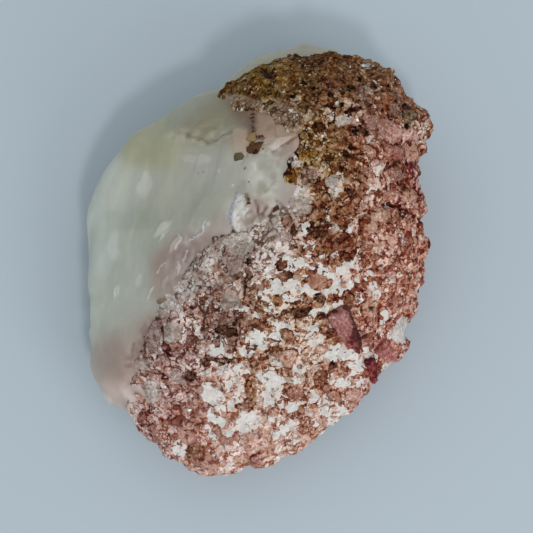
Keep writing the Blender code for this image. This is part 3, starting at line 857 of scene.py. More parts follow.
# the tourmaline crust
tourmaline = {
    "gridCount": 128,
    "fineSide": (0.22, -0.28, 0.93),
    "fineLean": 0.42,
    "coarseGrain": 1.20,
    "fineGrain": 0.68,
    "coarseness": ((1.0, 3.0, 91), (0.4, 1.2, 92)),
    "coarseLevel": -0.1,  # where the coarseness is above this, the grains are fine
    "bend": 0.34,
    "gain": np.array([1.38, 1.40, 1.36]),
    # middle x, y and reach as seen, then the grains' colour
    "zones": {
        "capLeft": (0.8, 23.2, 5.2, (104, 76, 42)),
        "capMustard": (1.1, 24.9, 1.8, (112, 84, 28)),
        "capMiddle": (10.1, 24.2, 4.9, (106, 74, 46)),
        "capRight": (14.5, 21.0, 3.6, (114, 80, 58)),
        "capEdge": (20.8, 18.2, 3.0, (142, 106, 88)),
        "ochre": (8.5, 12.7, 3.3, (132, 102, 66)),
        "ochreEdge": (4.6, 9.9, 1.1, (136, 100, 56)),
        "pinkUpper": (16.4, 16.5, 2.7, (164, 122, 108)),
        "crimsonRight": (20.3, 10.2, 2.2, (128, 76, 66)),
        "rightUpper": (16.6, 8.2, 2.7, (146, 104, 88)),
        "rightMiddle": (20.2, 2.5, 3.8, (156, 114, 100)),
        "centreUpper": (10.7, 6.2, 3.3, (124, 86, 62)),
        "centreLower": (12.1, 0.7, 3.0, (138, 98, 80)),
        "rightLower": (18.8, -4.7, 3.8, (160, 118, 104)),
        "mauveTop": (-1.5, 0.0, 3.3, (150, 130, 122)),
        "mauveLeft": (-6.8, -3.4, 2.5, (152, 134, 126)),
        "purple": (-6.8, -8.8, 3.3, (150, 124, 116)),
        "purpleDark": (-3.7, -10.1, 1.9, (116, 90, 83)),
        "leftLower": (-12.1, -15.5, 3.0, (140, 108, 101)),
        "middle": (4.6, -12.8, 4.7, (148, 112, 90)),
        "middleLeft": (0.8, -8.1, 2.7, (142, 110, 90)),
        "frontLeft": (-12.7, -23.5, 3.8, (154, 118, 110)),
        "front": (-0.7, -26.8, 6.0, (178, 149, 139)),
        "frontMiddle": (5.9, -18.2, 3.3, (155, 120, 104)),
        "frontRight": (12.9, -19.5, 3.3, (168, 132, 120)),
        "crimsonLower": (15.6, -13.8, 2.2, (162, 122, 114)),
    },
    # single crystals: middle x, y as seen, half length, half width, azimuth, finish, rise in millimetres
    "crystals": [
        # cap
        (0.8, 25.0, 1.4, 1.0, -30, "ochre", 0.3), (1.7, 24.2, 1.1, 0.5, -20, "umber", 0.0),
        (14.9, 21.7, 1.2, 1.1, 0, "mauve", 0.3), (10.5, 22.9, 1.9, 0.7, 0, "sienna", 0.4),
        (9.4, 21.0, 1.0, 1.0, 60, "clay", 0.4), (11.8, 19.3, 0.5, 0.5, 0, "clay", 0.3),
        (8.2, 19.6, 0.5, 0.5, 0, "clay", 0.3), (19.1, 20.0, 0.8, 1.1, 0, "mauve", 0.4),
        # upper right
        (11.9, 17.9, 1.1, 0.8, 0, "pearl", 0.2), (14.1, 16.5, 1.0, 0.5, -20, "umber", 0.1),
        (15.8, 17.6, 1.6, 1.3, -40, "dusk", 0.9), (18.2, 16.4, 1.9, 1.4, -30, "palePink", 1.2),
        (18.8, 13.6, 1.8, 0.9, -20, "rose", 0.8), (21.3, 13.2, 1.0, 0.9, 0, "tan", 0.8),
        (21.0, 15.9, 1.1, 1.1, 0, "palePink", 0.9), (21.0, 18.3, 1.2, 1.0, -50, "dun", 0.6),
        (16.0, 13.9, 1.1, 0.9, -30, "tan", 0.6), (16.2, 12.2, 0.6, 0.5, 30, "palePink", 0.6),
        (21.0, 11.4, 0.5, 1.0, 10, "crimson", 0.2), (19.2, 10.4, 1.0, 0.9, 0, "dusk", 0.5),
        # centre
        (4.7, 9.9, 0.9, 1.4, 0, "ochre", 0.5), (6.0, 14.0, 0.7, 0.8, 0, "umber", 0.0),
        (7.1, 13.1, 1.1, 0.8, 0, "ochre", 0.4), (11.5, 14.2, 1.2, 0.7, 10, "clay", 0.3),
        (6.9, 10.2, 1.0, 1.2, 0, "mauve", 0.4), (8.7, 8.8, 1.2, 0.5, 20, "russet", 0.2),
        (10.5, 9.1, 1.0, 1.0, 0, "pearl", 0.2), (10.5, 7.4, 0.6, 0.6, 0, "cream", 0.2),
        (8.4, 10.7, 0.7, 0.7, 0, "palePink", 0.3), (3.4, 1.7, 1.5, 0.8, 0, "smoke", 0.4),
        (6.0, 6.2, 1.5, 1.2, 0, "beige", 0.3), (11.7, 5.5, 1.0, 0.7, 0, "clay", 0.3),
        (11.0, 3.0, 0.6, 0.5, 0, "cream", 0.4), (14.9, 7.3, 0.5, 0.5, 0, "palePink", 0.7),
        (17.0, 4.8, 1.4, 1.1, 20, "tan", 1.0), (18.8, 4.3, 1.0, 0.7, 0, "sienna", 0.5),
        (20.9, 7.4, 1.0, 1.0, 0, "tan", 0.9), (15.7, 3.0, 1.2, 0.8, 30, "tan", 0.5),
        (14.4, 4.5, 0.5, 0.5, 0, "umber", 0.0), (12.8, 8.0, 0.8, 0.5, 0, "umber", 0.0),
        (8.4, 2.6, 1.6, 0.8, 0, "umber", -0.2), (5.0, 2.8, 0.4, 0.7, 0, "umber", 0.0),
        (6.0, 2.9, 0.35, 0.7, 0, "cream", 0.2), (6.4, 4.3, 0.5, 0.5, 0, "mauve", 0.2),
        # left of the middle
        (-2.9, 1.4, 1.2, 0.9, 20, "pearl", 0.1), (0.0, 1.1, 1.1, 0.5, -10, "bark", 0.0),
        (-0.9, -1.5, 0.9, 0.35, 10, "bark", 0.0), (1.9, 1.7, 0.7, 0.4, 20, "dun", 0.1),
        (-2.7, -1.6, 1.2, 1.1, 0, "smoke", 0.3), (-1.5, 0.6, 1.1, 1.0, 0, "beige", 0.2),
        (-0.6, -1.5, 0.7, 0.4, 0, "umber", 0.0), (3.5, 0.0, 0.6, 0.4, 0, "cream", 0.2),
        (3.4, -2.0, 1.0, 0.7, 0, "sienna", 0.4), (1.4, -4.7, 0.7, 0.4, -30, "sienna", 0.2),
        (3.0, -6.8, 0.7, 0.8, 40, "clay", 0.5), (8.4, -4.5, 1.2, 1.2, 0, "tan", 0.6),
        (8.9, 0.0, 1.2, 0.5, 0, "clay", 0.2), (11.0, -1.6, 1.2, 0.5, 35, "clay", 0.2),
        (5.7, -8.4, 1.8, 0.7, 0, "umber", 0.0), (8.6, -6.6, 1.0, 0.7, 0, "umber", 0.1),
        (12.5, -6.5, 0.8, 1.0, 0, "sienna", 0.2), (4.3, -11.5, 1.2, 0.8, -30, "sienna", 0.4),
        (-3.2, -6.9, 1.4, 1.1, 0, "beige", 0.3),
        # right
        (15.2, -8.0, 1.2, 1.2, 0, "tan", 0.6), (15.2, -8.0, 0.3, 0.3, 0, "umber", 0.7),
        (6.7, -13.4, 0.7, 0.5, 0, "tan", 0.3), (8.9, -13.5, 0.7, 0.8, 0, "tan", 0.3),
        (9.0, -8.8, 0.8, 0.5, 0, "russet", 0.3), (9.7, -11.1, 1.0, 0.4, 0, "russet", 0.3),
        (10.1, -16.0, 0.7, 0.4, 45, "russet", 0.0), (11.3, -16.3, 0.5, 0.7, 0, "tan", 0.3),
        (8.6, -17.2, 1.2, 0.8, 0, "sienna", 0.3), (4.6, -14.3, 1.1, 1.4, 0, "tan", 0.4),
        (13.3, -19.5, 1.4, 1.0, 20, "palePink", 0.8), (10.7, -19.8, 1.1, 0.8, 0, "tan", 0.6),
        (19.4, -11.0, 1.1, 1.9, -10, "ice", 0.5), (15.1, -19.0, 0.5, 0.5, 0, "maroon", 0.4),
        (18.7, -7.2, 1.2, 1.1, 0, "rose", 0.4),
        # lower left and front
        (-11.2, -11.2, 1.4, 1.4, 0, "beige", 0.9), (-13.9, -11.3, 1.4, 2.1, 0, "smoke", 0.5),
        (-15.6, -11.9, 0.5, 1.7, 0, "beige", 0.4), (-15.3, -15.4, 0.9, 0.7, 0, "beige", 0.3),
        (17.8, -15.8, 0.9, 0.5, 45, "ice", 0.3), (16.8, -18.0, 0.9, 0.5, 60, "ice", 0.3),
        (-14.1, -19.2, 1.4, 1.2, 20, "beige", 0.9), (-10.5, -17.0, 1.0, 1.0, 0, "smoke", 0.2),
        (-4.1, -10.9, 1.6, 0.8, 0, "umber", -0.1), (-6.8, -15.2, 0.7, 0.5, 0, "umber", 0.0),
        (-9.0, -17.0, 1.0, 0.5, 0, "umber", 0.0), (-4.5, -14.8, 1.5, 0.4, 0, "umber", 0.0),
        (-14.7, -22.3, 1.2, 0.7, 45, "maroon", 0.2), (-0.8, -18.8, 0.8, 1.4, 0, "clay", 0.6),
        (-1.2, -20.8, 1.2, 0.8, 20, "sienna", 0.4), (5.3, -19.1, 1.1, 0.8, 0, "rose", 0.1),
        (2.6, -21.8, 0.7, 0.5, 0, "tan", 0.3), (3.9, -21.9, 0.5, 0.5, 0, "tan", 0.3),
        (-2.1, -28.0, 1.1, 0.8, 0, "tan", 0.6), (0.1, -28.1, 1.0, 1.1, 0, "rose", 0.5),
        (-8.1, -27.1, 1.2, 1.2, 0, "sienna", 0.2), (-6.7, -28.6, 1.1, 0.7, 0, "palePink", 0.5),
    ],
    # dark pits: x, y as seen and half width
    "pits": [
        (15.2, -8.0, 0.34), (14.1, 23.5, 0.40), (16.1, 22.5, 0.50), (18.1, 22.5, 0.35), (20.6, 19.6, 0.45),
        (20.5, 16.9, 0.35), (8.4, 16.4, 0.45), (11.8, 20.1, 0.50), (10.2, 21.3, 0.40), (13.1, 22.4, 0.45),
        (10.5, 19.6, 0.40), (2.9, 21.6, 0.40), (4.9, 21.3, 0.45), (6.7, 23.2, 0.40), (6.2, 25.3, 0.35),
        (1.2, 24.2, 0.40), (13.6, 16.1, 0.45), (19.0, 20.6, 0.30), (7.6, 22.2, 0.35), (15.3, 20.2, 0.35),
        (17.4, 19.2, 0.30), (19.2, 12.2, 0.30), (18.0, 11.2, 0.45), (20.4, 12.0, 0.35), (6.8, 11.8, 0.35),
        (9.4, 14.8, 0.40), (4.8, 12.2, 0.30), (13.6, 9.6, 0.35), (11.4, 11.2, 0.40), (-3.0, -9.6, 0.35),
        (-5.0, -12.0, 0.35),
    ],
    # cracks as seen, darkened with painted shade: start x, y, end x, y, width, depth
    "cracks": [
        (17.8, 6.3, 19.6, 5.6, 0.30, 0.5), (19.6, 5.6, 21.2, 4.8, 0.20, 0.4),
        (21.2, 4.8, 22.1, 3.7, 0.18, 0.3), (12.8, 14.0, 14.3, 13.9, 0.28, 0.4),
        (12.1, 13.1, 14.4, 12.8, 0.15, 0.2), (15.0, 15.0, 16.9, 12.7, 0.16, 0.3),
        (12.1, 19.0, 14.2, 19.6, 0.22, 0.3), (-1.3, -3.4, -1.6, -6.8, 0.14, 0.2),
        (-1.3, -4.3, 0.0, -3.6, 0.12, 0.15), (-7.4, -7.6, -7.0, -8.5, 0.15, 0.2),
        (-8.8, -7.9, -7.9, -7.5, 0.17, 0.2), (-6.7, -9.3, -7.1, -10.9, 0.18, 0.2),
        (-12.6, -10.3, -12.5, -12.3, 0.13, 0.10), (-12.6, -12.9, -11.6, -14.3, 0.17, 0.10),
    ],
    # where the mass is still mostly quartz: middle x, y, half length, half width, azimuth
    "quartzPatches": [
        (2.0, 6.4, 5.4, 3.0, 15), (-2.6, 2.6, 3.4, 2.0, 30), (-3.2, -6.6, 2.2, 1.4, 80),
        (-11.4, -11.0, 1.9, 1.2, 60), (-13.8, -19.0, 2.2, 1.6, 60), (3.2, 17.8, 4.6, 3.2, 10),
        (-1.8, 20.3, 3.0, 1.0, -8), (11.6, 8.4, 1.6, 1.2, 60), (19.6, -10.9, 1.6, 1.1, 70),
    ],
    "quartzEdge": ((0.9, 3.1, 63), (0.7, 1.3, 66)),
    "clusters": ((0.55, 3.2, 95), (0.30, 1.7, 96)),  # of thicker, darker grains
    "crystalLook": (0.5, 0.6, 0.35, 0.5, 0.5, 0.9),  # in place of a grain's six random numbers
    "crystalRise": (0.55, 0.16),  # of a single crystal's rise, less this much of its half width
    "brownHeights": (0.16, 0.30, 0.42),  # of a brown grain's dome, its random height and its tilt
    "calmHeights": (0.06, 0.10),  # of the other grains' random height and tilt
    "pitDepth": 0.25,
    "lumps": (0.6, 0.75, 0.4),  # heights of the soft lumps, and of the large and the small facets
    "crease": 0.05,
    "hueShift": np.array([0.10, -0.10, -0.22]),  # how far a grain's colour may differ from its zone's
    "crackShadeTone": 2.2,
    "ownColour": (1.05, 0.15),  # gain of a single crystal's colour, and the zone's share in it
    "matrixGain": 0.84,
    "stones": (1.25, 0.72),  # sizes of the coarse and the fine stones in the colour
    "crumb": 0.42,  # size of what the stones are made of
    "thickness": (0.36, 3.4),  # least and greatest
    "ior": 1.5,
    "specular": 0.08,
}

feldspar = {
    "colour": (212, 209, 203),
    "share": 0.69,  # of the grains in a patch
    # patches: middle x, y as seen, half length, half width, and the length's azimuth
    "patches": [
        (3.2, -5.6, 4.2, 1.9, -5), (9.6, -3.6, 2.4, 0.9, -30), (11.6, -5.0, 1.8, 1.0, 20),
        (7.8, -5.4, 2.6, 1.0, 0), (3.0, -11.3, 3.4, 1.3, 27), (7.7, -8.7, 1.2, 0.6, 60),
        (9.9, -7.8, 1.6, 0.8, 5), (7.8, -12.8, 2.2, 1.3, 70), (10.8, -14.0, 2.8, 1.3, 10),
        (14.2, -14.8, 2.6, 1.5, 30), (12.4, -17.6, 3.0, 1.2, 5), (1.5, -18.0, 2.4, 1.8, -15),
        (2.9, -20.6, 2.2, 1.8, -60), (-1.0, -23.2, 2.0, 1.2, 30), (10.3, -21.4, 3.2, 1.9, -45),
        (-5.0, -12.9, 1.6, 1.1, 45), (-5.8, -19.6, 2.1, 1.3, -50), (-5.3, -22.8, 2.0, 1.4, 80),
        (-9.7, -26.7, 1.4, 0.9, -40), (4.4, -23.8, 1.8, 1.0, 20), (9.6, -24.6, 1.8, 0.8, 25),
        (10.9, 8.8, 2.0, 0.9, 70), (12.0, 17.7, 1.3, 0.9, 30), (15.1, 7.3, 0.8, 0.6, 0),
        (6.3, 2.8, 1.3, 1.0, 60), (15.5, -3.5, 1.0, 0.7, 40), (3.3, -7.8, 2.3, 0.7, 8),
        (-0.4, -11.8, 1.3, 0.8, 60), (6.6, -10.9, 1.7, 0.8, 10), (-1.2, -13.6, 1.0, 0.9, 0),
        (7.1, -13.5, 1.6, 0.9, 0), (5.8, -16.1, 1.2, 0.8, 60), (15.3, -19.1, 1.4, 0.8, 40),
        (4.6, -21.2, 1.3, 0.9, 0), (8.4, -2.4, 2.0, 0.9, -20), (12.0, -2.4, 1.2, 0.9, 40),
        (-2.1, -15.9, 1.0, 0.6, 10), (-3.0, -20.7, 1.0, 0.7, 70), (14.2, -8.0, 1.4, 0.45, 80),
    ],
    "spread": (6.0, -12.0, 17.0, 13.0, 60),  # the part of the mass where small white flecks are common
    "lobes": ((1.0, 2.2, 61), (0.6, 1.1, 62)),
}


def tourmalineRadius(directions, body, depth):
    # the mass rises over the quartz from a thin edge, more steeply at the back
    points = directions * body[:, None]
    height = np.clip(points[:, 2] / 6, 0, 1)
    atBack = np.clip((points[:, 1] - 15) / 6, 0, 1)
    backExtra = form["backProud"] - form["massProud"]
    proud = form["rimProud"] + height * (form["massProud"] - form["rimProud"] + atBack * backExtra)
    slope = np.where(depth < -0.35, 1.3, 0.32 + 0.9 * atBack * height)
    return body + np.clip(slope * (depth + 0.35), -2.5, proud)


def whiteChance(points):
    # how likely a grain is feldspar: high in the patches, with ragged lobes, and now and then between them
    lobes = noises(points, *feldspar["lobes"])
    patches = patchField(points, feldspar["patches"])
    inside = smoothStep(patches + 0.35 * lobes, -0.45, 0.55) * feldspar["share"]
    common = np.clip(2 * patchField(points, [feldspar["spread"]]), 0, 1)
    vein = np.exp(-((softNoise(points, 3.0, 64) / 0.2) ** 2))
    return np.maximum(inside, common * (0.05 + 0.40 * vein + 0.06 * lobes))


def quartzChance(points, depth):
    # how likely a grain is quartz: high near the mass's edge and in patches
    ragged = noises(points, *tourmaline["quartzEdge"])
    edge = 0.97 - 0.9 * smoothStep(depth + ragged, 0.1, 3.4)
    edge *= 1 - smoothStep(points[:, 1], 9, 15)
    patches = smoothStep(patchField(points, tourmaline["quartzPatches"]) + 0.4 * ragged, -0.5, 0.8)
    return np.maximum(edge, patches) * 0.97


def grainCells(points, depth):
    # coarse grains with patches of fine ones away from the edge and the right flank, all bent by two
    # sizes of noise
    bends = [noises(points, (1.0, 1.5, 65 + k), (0.45, 0.6, 165 + k)) for k in range(3)]
    bent = points + tourmaline["bend"] * np.stack(bends, axis=1)
    coarse = nearestGrain(bent, tourmaline["coarseGrain"], 71)
    fine = nearestGrain(bent, tourmaline["fineGrain"], 81)
    level = noises(points, *tourmaline["coarseness"])
    flank = smoothStep(points[:, 0], 11, 16) * smoothStep(points[:, 1], -8, 0)
    coarser = 1 - smoothStep(depth, 0, 4) + 0.7 * flank
    isFine = level - coarser > tourmaline["coarseLevel"]
    fine["owner"] = fine["owner"] + 2000  # cells that no coarse grain has
    cells = {}
    for key in coarse:
        chosen = isFine if coarse[key].ndim == 1 else isFine[:, None]
        cells[key] = np.where(chosen, fine[key], coarse[key])
    cells["bent"] = bent
    return cells


def sortGrains(cells, depth):
    # each point's grain is feldspar, quartz or tourmaline
    seed, look = cells["seed"], cells["look"]
    cells["isWhite"] = look[:, 0] < whiteChance(seed)
    cells["isQuartz"] = (look[:, 0] > 1 - quartzChance(seed, depth)) & ~cells["isWhite"]


def placeCrystals(cells, points):
    # the single crystals and pits take the place of the grains under them
    cells["rise"] = np.zeros(len(points))
    cells["own"] = np.zeros((len(points), 3))
    cells["isOwn"] = np.zeros(len(points), bool)
    share, sunk = tourmaline["crystalRise"]
    ragged = 0.26 * softNoise(points, 0.9, 53)
    pits = [(x, y, half, 0.8 * half, 0, "jet", -tourmaline["pitDepth"]) for x, y, half in tourmaline["pits"]]
    for k, crystal in enumerate(tourmaline["crystals"] + pits):
        x, y, halfLength, halfWidth, _, finish, rise = crystal
        inside, reach = spotReach(cells["bent"], ragged, crystal)
        half = min(halfLength, halfWidth)
        cells["owner"][inside] = (5000 + k, 0, 0)  # a cell that no grain has
        middle = cells["bent"][inside]
        middle[:, :2] += (x, y) - seenPlace(middle)
        cells["seed"][inside] = middle
        cells["size"][inside] = 2 * half
        cells["away"][inside] = reach * 1.6 * half
        cells["edge"][inside] = (1 - reach) * half
        cells["look"][inside] = tourmaline["crystalLook"]
        cells["rise"][inside] = (rise * share - sunk * half) * (1 - reach**2)
        cells["own"][inside] = linear(finishes[finish])
        cells["isOwn"][inside] = True
        cells["isWhite"][inside] = finish == "white"
        cells["isQuartz"][inside] = finish in quartzFinishes
    cells["isBrown"] = ~cells["isWhite"] & ~cells["isQuartz"]


def tourmalineRelief(points, depth):
    # soft lumps and facets of two sizes, which rise from nothing at the crust's edge
    soft, large, small = tourmaline["lumps"]
    lumps = soft * softNoise(points, 6.5, 21) + large * crystalCells(points, 3.4, 23, blend=14.0)
    return np.clip(depth / 2.0, 0, 1) * (lumps + small * crystalCells(points, 1.9, 59, blend=14.0))


def grainRelief(cells, depth):
    # brown grains are domes at random heights and tilts with creases between; the rest lies lower
    look, size = cells["look"], cells["size"]
    dome = np.clip(1 - (cells["away"] / (0.8 * size)) ** 2, 0, 1)
    tilt = ((cells["bent"] - cells["seed"]) / size[:, None] * (look[:, 3:] - 0.5)).sum(axis=1)
    core = smoothStep(cells["edge"], 0.0, 0.14)
    domed, raised, tilted = tourmaline["brownHeights"]
    brown = size * (domed * dome + raised * (look[:, 2] - 0.35) + tilted * tilt) * (0.3 + 0.7 * core)
    raised, tilted = tourmaline["calmHeights"]
    calm = size * (raised * (look[:, 2] - 0.5) + tilted * tilt) - tourmaline["crease"]
    relief = np.where(cells["isBrown"], brown, calm) - tourmaline["crease"] * (1 - core) + cells["rise"]
    return np.clip(depth + 0.3, 0, 1) * relief


def grainTone(points, cells):
    # optical thickness, which is more in clusters; the dark stroke round each single crystal, painted shade
    # that is stronger at its back, away from the light; and how much the finer stones may vary the surface
    seed, isOwn = cells["seed"], cells["isOwn"]
    cluster = noises(points, *tourmaline["clusters"])
    rim = 1 - smoothStep(cells["edge"], 0.02, 0.22)
    broken = smoothStep(softNoise(points, 1.1, 97), -0.45, 0.25)
    behind = (cells["bent"] - seed)[:, 1] / cells["size"]
    # painted shade: a dark stroke at each crystal's edge, more on its back side
    shadeStroke = isOwn * rim * broken * np.clip(0.6 + 0.8 * behind, 0.15, 1.1)
    shadeStroke *= np.where(cells["isQuartz"], 0.3, 0.85)
    calmAtBack = 1 - 0.6 * smoothStep(points[:, 1], 17, 21)
    vary = np.where(isOwn, 0.35, calmAtBack)
    return 1.05 + vary * cluster + 0.5 * shadeStroke, shadeStroke, vary


def crustFinish():
    # translucent grains: a colour to the power of its thickness, which each stone and fine noise vary;
    # a stone is feldspar or quartz where its random number is under the share of these
    paint = Paint("pink_tourmaline")
    zone = paint.attribute("tint")
    whiteShare = paint.attribute("tint", "Alpha")
    matrix = paint.attribute("matrix")
    quartzShare = paint.attribute("matrix", "Alpha")
    tone, shadeStroke, vary = paint.parts(paint.attribute("tone"))
    bent = paint.bent(1.1, 0.9, paint.bent(0.4, 0.30))
    isFine = paint.noise(2.6, 2.0).step(0.50, 0.53)
    pairs = zip(*(paint.stones(size, bent) for size in tourmaline["stones"]))
    first, second, level, edge, behind = [large + (small - large) * isFine for large, small in pairs]
    place = paint.bent(0.45, 0.30)
    crumb, speck, order = paint.parts(paint.cells(tourmaline["crumb"], "Color", place))
    crumbEdge = paint.cells(tourmaline["crumb"], "Distance", place, "DISTANCE_TO_EDGE")
    crumbEdge = 1 - crumbEdge.step(0.0, 0.16)
    fine = paint.noise(0.30, 3.0, 0.65)
    mottled = (order - 0.5) * 0.16 + (fine - 0.5) * 0.5
    isWhite = (whiteShare - first + mottled).step(-0.03, 0.04)
    isQuartz = (quartzShare - second + mottled).step(-0.05, 0.06)
    # painted shade: dark rings round the stones, stronger on each stone's back side away from the light
    ring = (1 - edge.step(0.04, 0.20)) * paint.noise(1.2, 1.0).step(0.38, 0.60)
    ring = ring * (behind * 0.9 + 0.8).clamp(0.2, 1.3)
    rimShade = (ring * vary + shadeStroke + (fine - 0.5) * 0.5).step(0.25, 0.55)
    stone = level * 1.0 + level.math("POWER", 6.0) * 0.7 - 0.42 - edge * 0.8
    detail = (crumb - 0.5) * 0.5 + (fine - 0.5) * 2.0 + crumbEdge * 0.3 + speck.step(0.86, 0.92) * 0.9
    thickness = (tone + stone * vary + detail).clamp(*tourmaline["thickness"])
    body = paint.thickened(zone, thickness + rimShade * 1.3)
    chalk = paint.scaled(tuple(linear(feldspar["colour"])), 0.85 + 0.24 * crumb + (fine - 0.5) * 0.5)
    cream = paint.thickened(zone, 0.42)
    chalk = paint.mix((paint.noise(1.3, 3.0) - 0.45) * 2.6 + (speck - 0.5) * 0.5, chalk, cream)
    layers = stone * 0.25 + (fine - 0.5) * 1.5 + (crumb - 0.5) * 0.4 + rimShade * 0.9
    grey = paint.thickened(matrix, tone * 0.8 + 0.12 + layers)
    body = paint.mix(isQuartz, body, grey)
    body = paint.mix(isWhite, body, chalk)
    height = 0.35 * crumb - 0.2 * crumbEdge + 0.5 * fine - 0.5 * ring
    return paint.finish({
        "Base Color": body,
        "Roughness": 0.42 + 0.25 * crumb,
        "IOR": tourmaline["ior"],
        "Specular IOR Level": tourmaline["specular"],
        "Normal": paint.bump(height, 0.10, 0.7),
    })


def makeCrust():
    directions, quads, body, depth = bodyMesh(tourmaline)
    points = directions * tourmalineRadius(directions, body, depth)[:, None]
    normals = vertexNormals(points, quads)
    points += normals * tourmalineRelief(points, depth)[:, None]
    cells = grainCells(points, depth)
    sortGrains(cells, depth)
    placeCrystals(cells, points)
    crack, dip = nearLines(points, tourmaline["cracks"])
    points += normals * (grainRelief(cells, depth) - dip)[:, None]
    tone, shadeStroke, vary = grainTone(points, cells)
    # painted shade in the cracks' grooves
    tone += tourmaline["crackShadeTone"] * smoothStep(crack, 0.2, 0.7)
    zone = tourmaline["gain"] * blendZones(points, tourmaline["zones"].values())
    zone *= 1 + (cells["look"][:, 4:5] - 0.5) * tourmaline["hueShift"]
    gain, share = tourmaline["ownColour"]
    own = gain * ((1 - share) * cells["own"] + share * zone)
    matrix = tourmaline["matrixGain"] * quartz["gain"] * blendZones(points, quartzZones)
    matrix = mixed(matrix, zone**0.78, 0.85 * smoothStep(depth, 0.0, 2.6))
    zone = np.where(cells["isOwn"][:, None], own, zone)
    matrix = np.where(cells["isOwn"][:, None], own, matrix)
    white = np.where(cells["isOwn"], 3.0 * cells["isWhite"] - 1.5, whiteChance(points))
    grey = np.where(cells["isOwn"], 3.0 * cells["isQuartz"] - 1.5, quartzChance(points, depth))
    attributes = {
        "tint": np.concatenate([zone, white[:, None]], axis=1),
        "matrix": np.concatenate([matrix, grey[:, None]], axis=1),
        "tone": np.stack([tone, shadeStroke, vary, np.ones_like(tone)], axis=1),
    }
    piece = makePiece("tourmaline_crust", grounded(points), quads, crustFinish(), attributes)
    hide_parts("pink_tourmaline")
    print("crust:", len(quads) * 2, "triangles")
    seen = (depth > 0.3) & (points[:, 2] + form["centre"][2] > 0.6) & cells["isBrown"]
    crust = {key: values[seen] for key, values in cells.items()}
    crust["points"], crust["normals"] = points[seen], normals[seen]
    crust["top"] = points[(normals[:, 2] > 0.2) & (depth > -0.5)]
    # the crust's colour, with its painted shade, for the crystals set on it
    crust["colour"] = zone[seen] ** np.clip(tone[seen], 0.5, 1.6)[:, None]
    return crust


crust = makeCrust()


# loose-edged crystals that stand out of the crust
grains = {
    "kinds": 14,
    "corners": 11,
    "size": 0.36,  # half width in grain spacings
    "share": 0.25,  # of the brown grains stand out as crystals
    "sunk": 0.45,  # of the half width
}


def grainTemplates(seed, flatness):
    # convex hulls of random points on a squashed sphere
    chance = np.random.default_rng(seed)
    templates = []
    for _ in range(grains["kinds"]):
        corners = chance.normal(size=(grains["corners"], 3))
        corners /= lengths(corners)[:, None]
        corners *= chance.uniform(0.8, 1.2, 3) * (1, 1, flatness)
        hull = bmesh.new()
        for corner in corners:
            hull.verts.new(corner)
        bmesh.ops.convex_hull(hull, input=hull.verts[:])
        bmesh.ops.delete(hull, geom=[v for v in hull.verts if not v.link_faces], context="VERTS")
        hull.verts.index_update()
        points = np.array([v.co for v in hull.verts])
        faces = np.array([[v.index for v in f.verts] for f in hull.faces])
        hull.free()
        templates.append((points, faces))
    return templates


def turnsFrom(numbers):
    # rotation matrices from quaternions made of four numbers each
    w, x, y, z = (numbers / lengths(numbers)[:, None]).T
    rows = [
        (1 - 2 * (y * y + z * z), 2 * (x * y - w * z), 2 * (x * z + w * y)),
        (2 * (x * y + w * z), 1 - 2 * (x * x + z * z), 2 * (y * z - w * x)),
        (2 * (x * z - w * y), 2 * (y * z + w * x), 1 - 2 * (x * x + y * y)),
    ]
    return np.stack([np.stack(row, axis=1) for row in rows], axis=1)


def scatterGrains(
    name, anchors, normals, colours, sizes, templates, material, seed, squash=0.0
):
    # every anchor gets a turned and sized copy of one template, squashed along its normal, with painted
    # shade on the side away from it and painted light on the side toward it, as one joined mesh
    chance = np.random.default_rng(seed)
    turns = turnsFrom(chance.normal(size=(len(anchors), 4)))
    which = chance.integers(0, len(templates), len(anchors))
    normals, colours = (np.broadcast_to(values, anchors.shape) for values in (normals, colours))
    parts = []
    for k, (corners, faces) in enumerate(templates):
        chosen = which == k
        local = np.einsum("gij,vj->gvi", turns[chosen], corners) * sizes[chosen][:, None, None]
        height = np.einsum("gvi,gi->gv", local, normals[chosen])
        local -= squash * height[:, :, None] * normals[chosen][:, None, :]
        # painted shade low on each grain, painted light high on it
        shade = np.clip(0.85 + 0.35 * (height / sizes[chosen][:, None]), 0.35, 1.15)[:, :, None]
        points = anchors[chosen][:, None, :] + local
        tints = np.concatenate([colours[chosen][:, None, :] * shade, shade], axis=2)
        shift = np.arange(chosen.sum())[:, None, None] * len(corners)
        parts.append((points.reshape(-1, 3), (faces + shift).reshape(-1, 3), tints.reshape(-1, 4)))
    points, faces, tints = joined(parts)
    piece = makePiece(name, grounded(points), faces, material, {"tint": tints}, smooth=False)
    print(name, len(anchors), "grains,", len(faces), "triangles")


def grainFinish(name, roughness, ior):
    paint = Paint(name)
    tint = paint.attribute("tint")
    speck = paint.noise(0.3, 3.0, 0.6)
    height = paint.noise(0.25, 3.0, 0.6)
    return paint.finish({
        "Base Color": paint.scaled(tint, 0.65 + 0.7 * speck),
        "Roughness": roughness + 0.25 * speck,
        "IOR": ior,
        "Specular IOR Level": 0.2,
        "Normal": paint.bump(height, 0.05, 0.6),
    })


def makeGrains():
    # the point nearest the middle of every brown grain in sight; some of them carry a crystal
    keys = (crust["owner"] * (1, 4096, 4096**2)).sum(axis=1)
    order = np.lexsort((crust["away"], keys))
    _, picked = np.unique(keys[order], return_index=True)
    picked = order[picked]
    look, size = crust["look"][picked], crust["size"][picked]
    picked = picked[(crust["away"][picked] < 0.35 * size) & (look[:, 5] < grains["share"])]
    look = crust["look"][picked]
    normals = crust["normals"][picked]
    sizes = crust["size"][picked] * grains["size"] * (0.7 + 0.6 * look[:, 0])
    anchors = crust["points"][picked] - normals * (sizes * grains["sunk"])[:, None]
    scatterGrains(
        "tourmaline_grains", anchors, normals, crust["colour"][picked], sizes,
        grainTemplates(5, flatness=1.0), grainFinish("tourmaline_grains", roughness=0.32, ior=1.62), 6,
    )


makeGrains()


